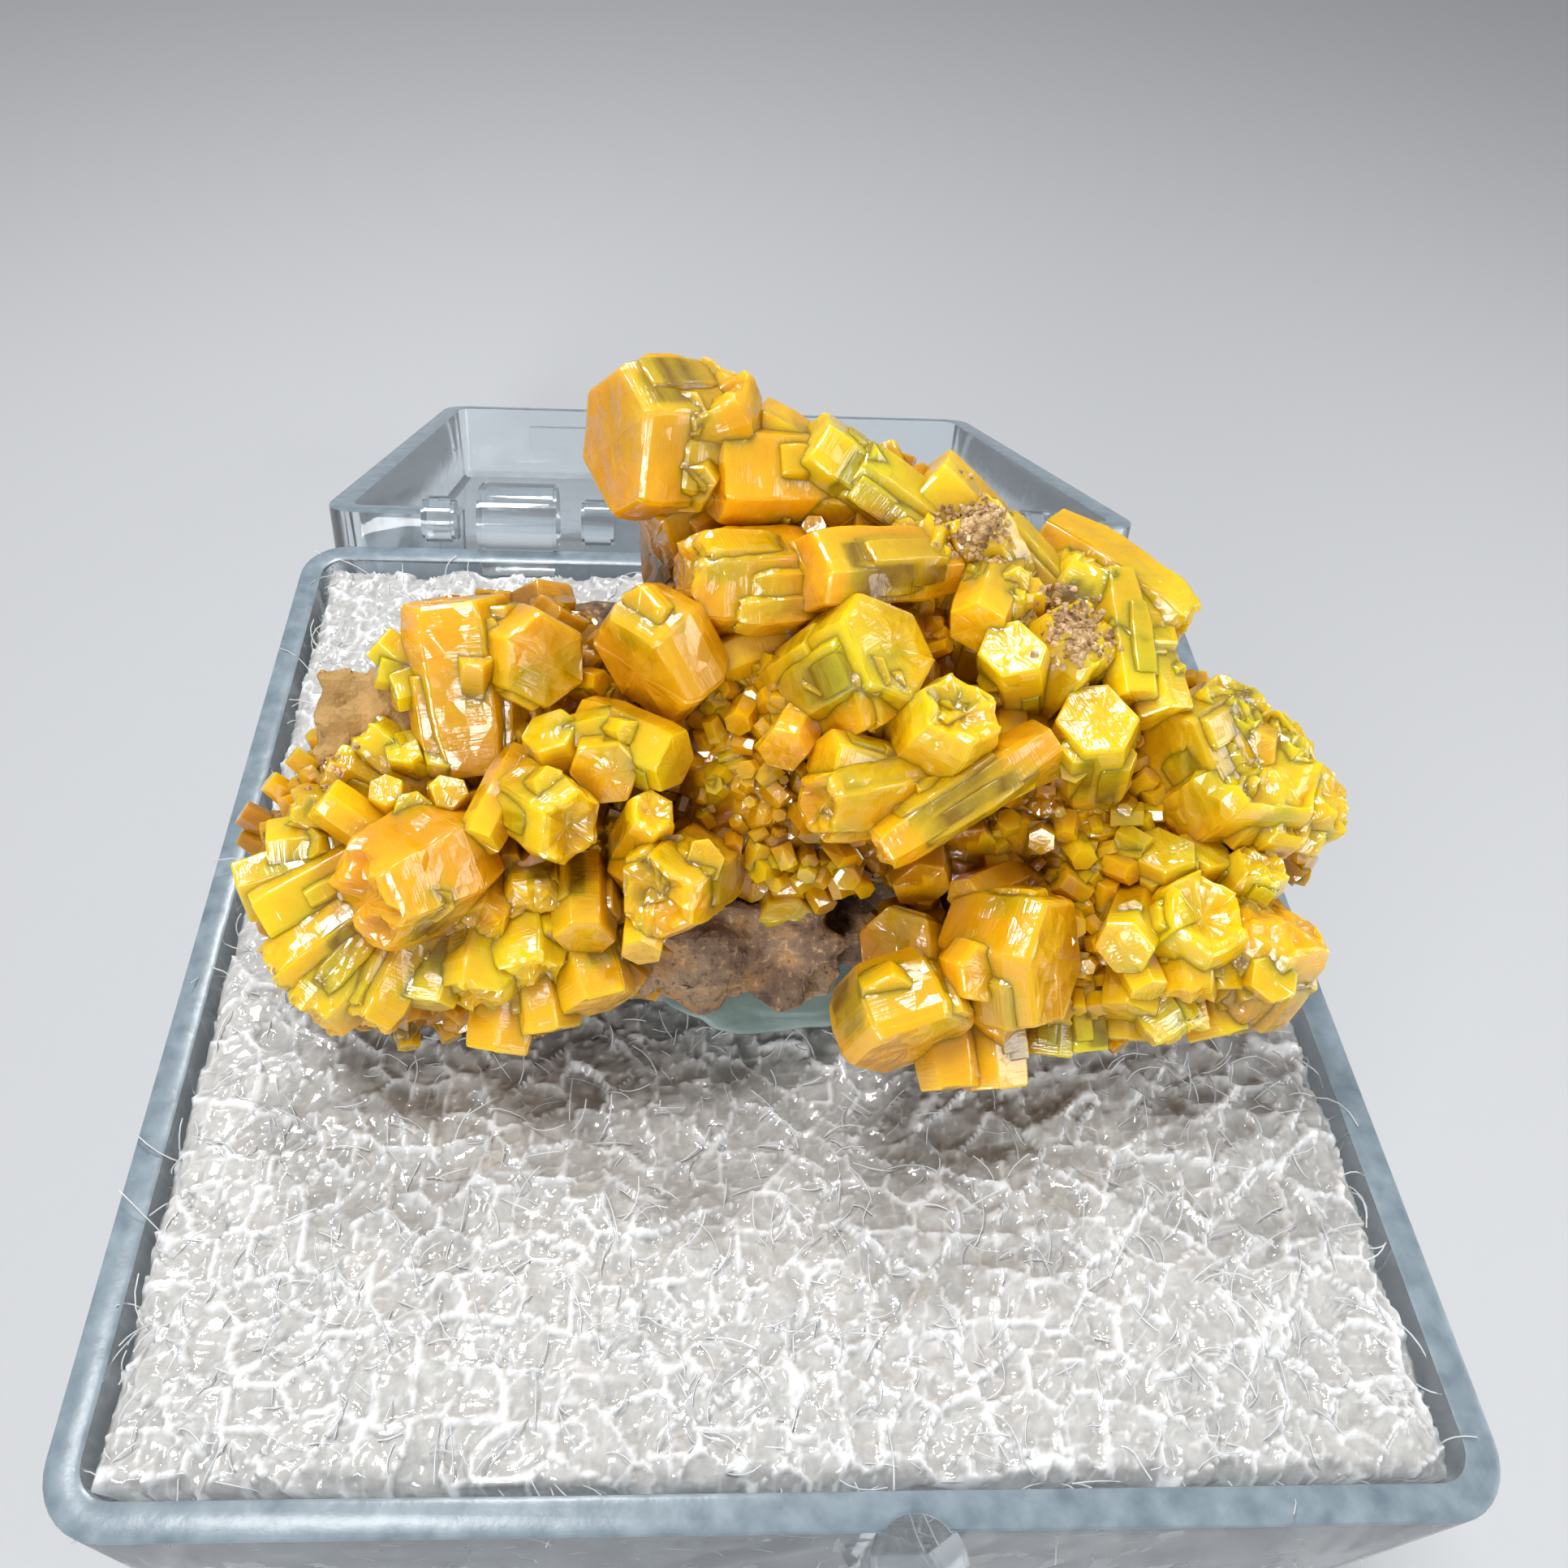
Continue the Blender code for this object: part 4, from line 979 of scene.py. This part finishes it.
def make_foam():
    made, tree, shader, place = start_material("clear_foam")
    fine = add_noise(tree, place, 0.3, 4.0)
    colour = add_ramp(tree, fine, [(0.3, (0.42, 0.415, 0.40)), (0.7, (0.58, 0.575, 0.56))])
    film = map_range(tree, read_attribute(tree, "film"), 0.25, 1.0, 0.0, 1.0)
    feed(tree, shader, {
        "Base Color": mix_colour(tree, film, colour, (0.84, 0.85, 0.86)),
        "Normal": add_bump(tree, fine, 0.3, 0.04),
        "Roughness": 0.08,
        "IOR": 1.7,
    })
    return made


def cell_edges(points, seed):
    """For points in cell units: distance to the bubble's wall and centre, and the bubble's own number."""
    rng = np.random.default_rng(seed)
    reach = int(np.ceil(np.abs(points).max())) + 2
    size = 2 * reach + 1
    jitter = rng.uniform(0.1, 0.9, (size, size, 2))
    character = rng.uniform(-1.0, 1.0, (size, size))
    cell = np.floor(points).astype(int)
    nearest = np.full(len(points), 9.0)
    second = np.full(len(points), 9.0)
    own = np.zeros(len(points))
    for dx in (-1, 0, 1):
        for dy in (-1, 0, 1):
            corner = cell + (dx, dy)
            centre = corner + jitter[corner[:, 0] + reach, corner[:, 1] + reach]
            away = np.linalg.norm(points - centre, axis=1)
            closer = away < nearest
            second = np.where(closer, nearest, np.minimum(second, away))
            nearest = np.where(closer, away, nearest)
            own = np.where(closer, character[corner[:, 0] + reach, corner[:, 1] + reach], own)
    return second - nearest, nearest, own


def build_foam():
    """Block with a bubbled top and softly ragged sides."""
    count = int(2 * FOAM_HALF / FOAM_STEP)
    line = np.linspace(-FOAM_HALF, FOAM_HALF, count + 1)
    x, y = np.meshgrid(line, line)
    flat = np.stack((x.ravel(), y.ravel()), 1)
    slices = [[noise.noise(Vector((a * 0.5, b * 0.5, depth))) for a, b in flat] for depth in (5.0, 9.0)]
    warp = np.array(slices).T
    edge, middle, own = cell_edges((flat + warp * 0.8) / CELL_MM, 3)
    edge_small, middle_small, own_small = cell_edges((flat - warp) / (0.5 * CELL_MM), 4)
    ridge = np.exp(-(edge / 0.08) ** 2)
    ridge_small = np.exp(-(edge_small / 0.14) ** 2)
    rough = np.array([noise.noise(Vector((a * 0.45, b * 0.45, 3.1))) for a, b in flat])
    away = np.hypot(flat[:, 0] - DIP_CENTRE[0], flat[:, 1] - DIP_CENTRE[1])
    dent = DIP_DEPTH * np.clip(1.0 - (away / DIP_RADIUS) ** 2, 0.0, 1.0)
    height = FOAM_TOP + 0.2 * rough - dent + 0.17 * ridge + 0.06 * ridge_small
    height += 0.2 * own * (1.0 - np.clip(middle / 0.7, 0.0, 1.0) ** 2)
    height += 0.09 * own_small * (1.0 - np.clip(middle_small / 0.7, 0.0, 1.0) ** 2)
    border = np.maximum(np.abs(flat[:, 0]), np.abs(flat[:, 1])) / FOAM_HALF
    height -= 0.25 * np.clip((border - 0.97) / 0.03, 0.0, 1.0) ** 2
    points = [(a, b, c) for (a, b), c in zip(flat, height)]
    wide = count + 1
    starts = [row * wide + column for row in range(count) for column in range(count)]
    faces = [(first, first + 1, first + wide + 1, first + wide) for first in starts]
    rim = list(range(count))
    rim += [row * wide + count for row in range(count)]
    rim += [count * wide + column for column in range(count, 0, -1)]
    rim += [row * wide for row in range(count, 0, -1)]
    previous = rim
    for level in range(1, FOAM_LEVELS + 1):
        share = level / FOAM_LEVELS
        row = []
        for index in rim:
            a, b = flat[index]
            z = height[index] + (FOAM_LOW - height[index]) * share
            push = 0.3 * noise.noise(Vector((a * 0.9, b * 0.9, z * 0.9)))
            push += 0.16 * noise.noise(Vector((a, b, z)) * 2.4)
            scale = 1.0 + (push if level < FOAM_LEVELS else 0.0) / FOAM_HALF
            row.append(len(points))
            points.append((a * scale, b * scale, z))
        for here in range(len(rim)):
            there = (here + 1) % len(rim)
            faces.append((previous[here], row[here], row[there], previous[there]))
        previous = row
    faces.append(tuple(previous[::-1]))
    item = add_piece("foam_block", points, faces, make_foam(), smooth=True)
    film = np.zeros(len(points))
    film[:len(flat)] = np.clip(ridge + 0.6 * ridge_small, 0.0, 1.0)
    film[len(flat):] = 0.35
    add_point_values(item, "film", film)
    return item


foam = build_foam()
print("foam", len(foam.data.polygons), "faces")


# %% torn film by Geometry Nodes
STRAND_SHAPES = [
    ((0.5, 0.1, 0.3), (1.0, 0.15, 0.1)),
    ((0.4, 0.2, 0.35), (1.0, -0.1, 0.25)),
    ((0.5, -0.15, 0.15), (0.9, 0.2, 0.35)),
]


def make_fibre_tree():
    tree, given = new_tree("TornFilm", ["Count Per Area", "Thickness", "Length"])
    spread = add_node(tree, "GeometryNodeDistributePointsOnFaces", {
        "Mesh": given["Mesh"],
        "Density": given["Count Per Area"],
        "Seed": 5,
    }).outputs
    strands = add_node(tree, "GeometryNodeJoinGeometry")
    for middle, end in STRAND_SHAPES:
        strand = add_node(tree, "GeometryNodeCurveQuadraticBezier", {
            "Resolution": 4,
            "Start": (0.0, 0.0, -0.05),
            "Middle": middle,
            "End": end,
        }).outputs
        holder = add_node(tree, "GeometryNodeGeometryToInstance", {"Geometry": strand["Curve"]}).outputs
        feed(tree, strands, {"Geometry": holder["Instances"]})
    placed = add_node(tree, "GeometryNodeInstanceOnPoints", {
        "Points": spread["Points"],
        "Instance": strands.outputs["Geometry"],
        "Pick Instance": True,
        "Rotation": random_value(tree, "FLOAT_VECTOR", (-0.5, -0.5, 0.0), (0.5, 0.5, 6.28), 7),
        "Scale": scaled_value(tree, given["Length"], 0.4, 1.4, 8),
    }).outputs
    real = add_node(tree, "GeometryNodeRealizeInstances", {"Geometry": placed["Instances"]}).outputs
    profile = add_node(tree, "GeometryNodeCurvePrimitiveCircle", {
        "Resolution": 3,
        "Radius": given["Thickness"],
    }).outputs
    tube = add_node(tree, "GeometryNodeCurveToMesh", {
        "Curve": real["Geometry"],
        "Profile Curve": profile["Curve"],
        "Fill Caps": True,
    }).outputs
    end_tree(tree, tube["Mesh"], given["Material"])
    return tree


FIBRE_COLOURS = [(0.3, (0.72, 0.76, 0.80)), (0.7, (0.94, 0.95, 0.96))]
fibre_looks = {"Roughness": 0.15, "Transmission Weight": 0.2}
fibres = grow("foam_fibres", foam, make_fibre_tree(), {
    "Count Per Area": 1.4e6,
    "Thickness": 0.021 * MM,
    "Length": 1.0 * MM,
    "Material": plain_finish("torn_film", (1.0,), FIBRE_COLOURS, None, fibre_looks),
})

# %% [markdown]
# The box is moulded from clear polystyrene. Both halves are shells with rounded corners, a small radius on
# every rim and a slight draft. The shells are lofted through stacked rounded squares, outside and then
# inside, so the clear material refracts through a real wall.

# %% clear plastic
def make_plastic():
    made, tree, shader, place = start_material("clear_plastic")
    feed(tree, shader, {
        "Base Color": (0.88, 0.94, 0.98, 1.0),
        "Roughness": map_range(tree, add_noise(tree, place, 0.9, 6.0, 0.7), 0.45, 0.75, 0.04, 0.25),
        "Normal": add_bump(tree, add_noise(tree, place, 2.5, 2.0), 0.08, 0.05),
        "IOR": 1.5,
        "Transmission Weight": 0.94,
    })
    return made


plastic = make_plastic()
RIM_COLOURS = [(0.3, (0.18, 0.24, 0.29)), (0.7, (0.33, 0.41, 0.47))]
frosted = plain_finish("frosted_rim", (0.6, 5.0), RIM_COLOURS, (0.6, 5.0, 0.3, 0.05), {
    "Roughness": 0.28,
    "IOR": 1.5,
    "Transmission Weight": 0.25,
})
CORNER_STEPS = 9
CORNER_RADIUS = 1.6
WALL = 0.8
LID_WALL = 1.0
DRAFT = 0.25
FLOOR = 1.0
LID_HEIGHT = 5.0


def rounded_square(half, radius, height):
    """Points of a square with round corners, at one height."""
    points = []
    for corner in range(4):
        start = corner * math.pi / 2
        centre = Vector((half - radius, half - radius, 0.0))
        centre.rotate(Matrix.Rotation(start, 3, "Z"))
        for step in range(CORNER_STEPS + 1):
            angle = start + step * math.pi / 2 / CORNER_STEPS
            points.append((centre.x + radius * math.cos(angle), centre.y + radius * math.sin(angle), height))
    return points


def shell(name, outline):
    """Loft a closed shell through pairs of half width and height, up the outside and down the inside."""
    points = []
    count = 4 * (CORNER_STEPS + 1)
    for half, height in outline:
        radius = max(0.3, CORNER_RADIUS - (HALF - half))
        points.extend(rounded_square(half, radius, height))
    faces = [(face[0], *face[:0:-1]) for face in ring_faces(len(outline), count)]
    faces.append(tuple(range(count))[::-1])
    faces.append(tuple(range(len(points) - count, len(points))))
    return add_piece(name, points, faces, plastic)


def wall_outline(wall, closed, towards, rim):
    """Pairs of half width and height from a closed end round the rim and back, for the base or the lid."""
    inner = HALF - wall
    return [
        (HALF - DRAFT - 0.5, closed),
        (HALF - DRAFT - 0.15, closed + towards * 0.12),
        (HALF - DRAFT, closed + towards * 0.5),
        (HALF, rim - towards * 0.12),
        (HALF - 0.04, rim - towards * 0.03),
        (HALF - 0.14, rim),
        (inner + 0.14, rim),
        (inner + 0.03, rim - towards * 0.04),
        (inner, rim - towards * 0.14),
        (inner - DRAFT, closed + towards * (FLOOR + 0.3)),
        (inner - DRAFT - 0.3, closed + towards * FLOOR),
    ]


base_shell = shell("box_base_shell", wall_outline(WALL, 0.0, 1.0, RIM))
lid_shell = shell("box_lid_shell", wall_outline(LID_WALL, LID_RIM + LID_HEIGHT, -1.0, LID_RIM))
lid_shell.data.flip_normals()

# %% [markdown]
# The hinge has two knuckles on the base and two round-ended ears beside each on the lid, set in a notch of
# the lid's back wall. Boolean modifiers cut the notches and join the small parts to their shells, as in a
# mould.

# %% hinge parts and thumb catch
HINGE_SPREAD = 8.3
KNUCKLE_WIDTH = 2.9
KNUCKLE_RADIUS = 1.4
EAR_WIDTH = 0.9
EAR_RADIUS = 0.85
NOTCH_WIDTH = 6.5
NOTCH_HEIGHT = 1.8
ROUND_SIDES = 40
CATCH_X = 2.6
CATCH_Y = -16.6
CATCH_RADIUS = 1.05
CATCH_DROP = 5.0


def tool_block(low, high):
    """Plain box between two corners, for joining or cutting."""
    shape = bmesh.new()
    bmesh.ops.create_cube(shape, size=1.0)
    bmesh.ops.scale(shape, vec=[b - a for a, b in zip(low, high)], verts=shape.verts)
    bmesh.ops.translate(shape, vec=[(a + b) / 2 for a, b in zip(low, high)], verts=shape.verts)
    return tool_object(shape)


def tool_bar(radius, start, end):
    """Round bar between two points, with a small chamfer at both ends."""
    start, end = Vector(start), Vector(end)
    shape = bmesh.new()
    bmesh.ops.create_cone(shape, cap_ends=True, segments=ROUND_SIDES, radius1=radius, radius2=radius,
                          depth=(end - start).length)
    rims = [edge for edge in shape.edges if len({round(vert.co.z, 4) for vert in edge.verts}) == 1]
    bmesh.ops.bevel(shape, geom=rims, offset=0.12, segments=2, affect="EDGES")
    turn = Vector((0.0, 0.0, 1.0)).rotation_difference(end - start)
    bmesh.ops.rotate(shape, cent=(0, 0, 0), matrix=turn.to_matrix(), verts=shape.verts)
    bmesh.ops.translate(shape, vec=(start + end) / 2, verts=shape.verts)
    return tool_object(shape)


def tool_object(shape):
    """Object from a bmesh in millimetres, for a Boolean."""
    bmesh.ops.recalc_face_normals(shape, faces=shape.faces)
    bmesh.ops.scale(shape, vec=(MM, MM, MM), verts=shape.verts)
    return free_to_object(shape, "tool")


def combine(target, tools, operation):
    """Join or cut a piece with tools, then remove them."""
    for tool in tools:
        cut = target.modifiers.new("combine", "BOOLEAN")
        cut.operation = operation
        cut.object = tool
        cut.solver = "EXACT"
    bake_modifiers(target)
    for tool in tools:
        bpy.data.objects.remove(tool, do_unlink=True)


knuckles = []
notches = []
ears = []
for side in (-1, 1):
    middle = side * HINGE_SPREAD
    left, right = middle - KNUCKLE_WIDTH / 2, middle + KNUCKLE_WIDTH / 2
    knuckles.append(tool_bar(KNUCKLE_RADIUS, (left, HINGE_Y, HINGE_Z), (right, HINGE_Y, HINGE_Z)))
    knuckles.append(tool_block((left + 0.1, HALF - WALL / 2, HINGE_Z - KNUCKLE_RADIUS),
                               (right - 0.1, HINGE_Y, HINGE_Z - KNUCKLE_RADIUS / 2)))
    notches.append(tool_block((middle - NOTCH_WIDTH / 2, HALF - LID_WALL - 0.5, LID_RIM - 1),
                              (middle + NOTCH_WIDTH / 2, HALF + 1, LID_RIM + NOTCH_HEIGHT)))
    for hand in (-1, 1):
        near = middle + hand * (NOTCH_WIDTH / 2 - EAR_WIDTH)
        far = middle + hand * (NOTCH_WIDTH / 2 + 0.3)
        left, right = min(near, far), max(near, far)
        ears.append(tool_bar(EAR_RADIUS, (left, HINGE_Y, HINGE_Z), (right, HINGE_Y, HINGE_Z)))
        ears.append(tool_block((left, HALF - LID_WALL, LID_RIM + 0.05),
                               (right, HINGE_Y, HINGE_Z + EAR_RADIUS - 0.02)))
        ears.append(tool_block((left, HALF - LID_WALL + 0.1, LID_RIM + 0.1),
                               (right, HALF - 0.1, LID_RIM + NOTCH_HEIGHT + 0.3)))
catch = tool_bar(CATCH_RADIUS, (CATCH_X, CATCH_Y, RIM - CATCH_DROP), (CATCH_X, CATCH_Y, RIM + 0.05))
lip = tool_block((-11.0, -HALF - 0.5, LID_RIM + 1.2), (3.0, -HALF + LID_WALL / 2, LID_RIM + 2.5))
combine(base_shell, knuckles + [catch], "UNION")
combine(lid_shell, notches, "DIFFERENCE")
combine(lid_shell, ears + [lip], "UNION")
to_hinge = Matrix.Translation((0.0, HINGE_Y * MM, HINGE_Z * MM))
swing = to_hinge @ Matrix.Rotation(-math.radians(OPEN_ANGLE), 4, "X") @ to_hinge.inverted()
for item, rim in ((base_shell, RIM), (lid_shell, LID_RIM)):
    item.data.materials.append(frosted)
    for face in item.data.polygons:
        outside = max(abs(face.center.x), abs(face.center.y)) / MM > HALF + 0.05
        if not outside and abs(face.center.z / MM - rim) < 0.09 and abs(face.normal.z) > 0.4:
            face.material_index = 1
lid_shell.data.transform(swing)
for item in (base_shell, lid_shell):
    item.data.shade_smooth()
    item.data.set_sharp_from_angle(angle=math.radians(32))
    print(item.name, len(item.data.polygons), "faces")

# %% [markdown]
# Each piece is now attached to the body it moves with, and the solid that it stands for in the frame is
# hidden.

# %% bodies and replaced nodes
for piece in crystal_pieces + [crystal_mass, druse]:
    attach(piece, "base")
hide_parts("crystals")
for piece, body, node, slot_name in (
    (rock, "base", "matrix", "matrix"),
    (putty, "base", "putty", "putty"),
    (foam, "base", "foam_insert", "foam"),
    (base_shell, "base", "box_base", "clear_plastic"),
    (lid_shell, "lid", "box_lid", "clear_plastic"),
):
    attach(piece, body)
    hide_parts(node)
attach(fibres, "base")
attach(dirt, "base")

# %% [markdown]
# The studio is a plain pale floor and an even pale surround with four soft lights. The top one lights the
# foam and the crystals, a small one behind them makes the glints on facets that face up, one from the front
# left fills the undersides, and a weak one stands at the right.

# %% floor and lights
floor_finish, floor_tree, floor_shader, _ = start_material("pale_floor")
feed(floor_tree, floor_shader, {"Base Color": (0.55, 0.56, 0.58, 1.0), "Roughness": 0.6})
corners = [(-1000.0, -1000.0), (1000.0, -1000.0), (1000.0, 1000.0), (-1000.0, 1000.0)]
floor = add_piece("studio_floor", [(x, y, -0.2) for x, y in corners], [(0, 1, 2, 3)], floor_finish)


def soft_light(name, place, aim, size, power):
    """Square area light that looks at a point; places in millimetres."""
    data = bpy.data.lights.new(name, "AREA")
    data.size = size * MM
    data.energy = power
    light = bpy.data.objects.new(name, data)
    light.location = Vector(place) * MM
    light.rotation_euler = (Vector(aim) - Vector(place)).to_track_quat("-Z", "Y").to_euler()
    bpy.context.scene.collection.objects.link(light)


AIM = (0.0, 2.0, 24.0)
soft_light("light_top", (-35.0, 5.0, 150.0), AIM, 32.0, 0.10)
soft_light("light_glint", (-15.0, 65.0, 130.0), AIM, 14.0, 0.07)
soft_light("light_front", (-60.0, -150.0, 80.0), AIM, 60.0, 0.15)
soft_light("light_right", (130.0, -20.0, 60.0), AIM, 90.0, 0.09)
world = bpy.data.worlds.new("studio")
world.use_nodes = True
surround = world.node_tree.nodes["Background"]
feed(world.node_tree, surround, {"Color": (0.86, 0.88, 0.90, 1.0), "Strength": 0.36})
bpy.context.scene.world = world
bpy.context.scene.view_settings.view_transform = "Standard"

# %% [markdown]
# The camera was worked out from the box: its rim and lid are squares, so their lines in the picture give
# the lens, the place and the tilt. The picture is a cut-out of a wider one, which the sideways shift allows
# for.

# %% camera
PICTURE = 1932.0
FOCAL_PIXELS = 1550.0
AXIS_COLUMN = 875.0
CAMERA_PLACE = Vector((-3.27, -20.97, RIM + 30.41))
PITCH, YAW, ROLL = math.radians(49.78), math.radians(4.24), math.radians(-3.99)
forward = Vector((math.sin(YAW) * math.cos(PITCH), math.cos(YAW) * math.cos(PITCH), -math.sin(PITCH)))
level = Vector((math.cos(YAW), -math.sin(YAW), 0.0))
downward = forward.cross(level)
right = level * math.cos(ROLL) + downward * math.sin(ROLL)
up = level * math.sin(ROLL) - downward * math.cos(ROLL)
camera_data = bpy.data.cameras.new("camera")
camera_data.sensor_width = 36.0
camera_data.lens = camera_data.sensor_width * FOCAL_PIXELS / PICTURE
camera_data.shift_x = (PICTURE / 2 - AXIS_COLUMN) / PICTURE
camera_data.clip_start = 0.001
camera = bpy.data.objects.new("camera", camera_data)
facing = Matrix((right, up, -forward)).transposed().to_4x4()
camera.matrix_world = Matrix.Translation(CAMERA_PLACE * MM) @ facing
bpy.context.scene.collection.objects.link(camera)
bpy.context.scene.camera = camera
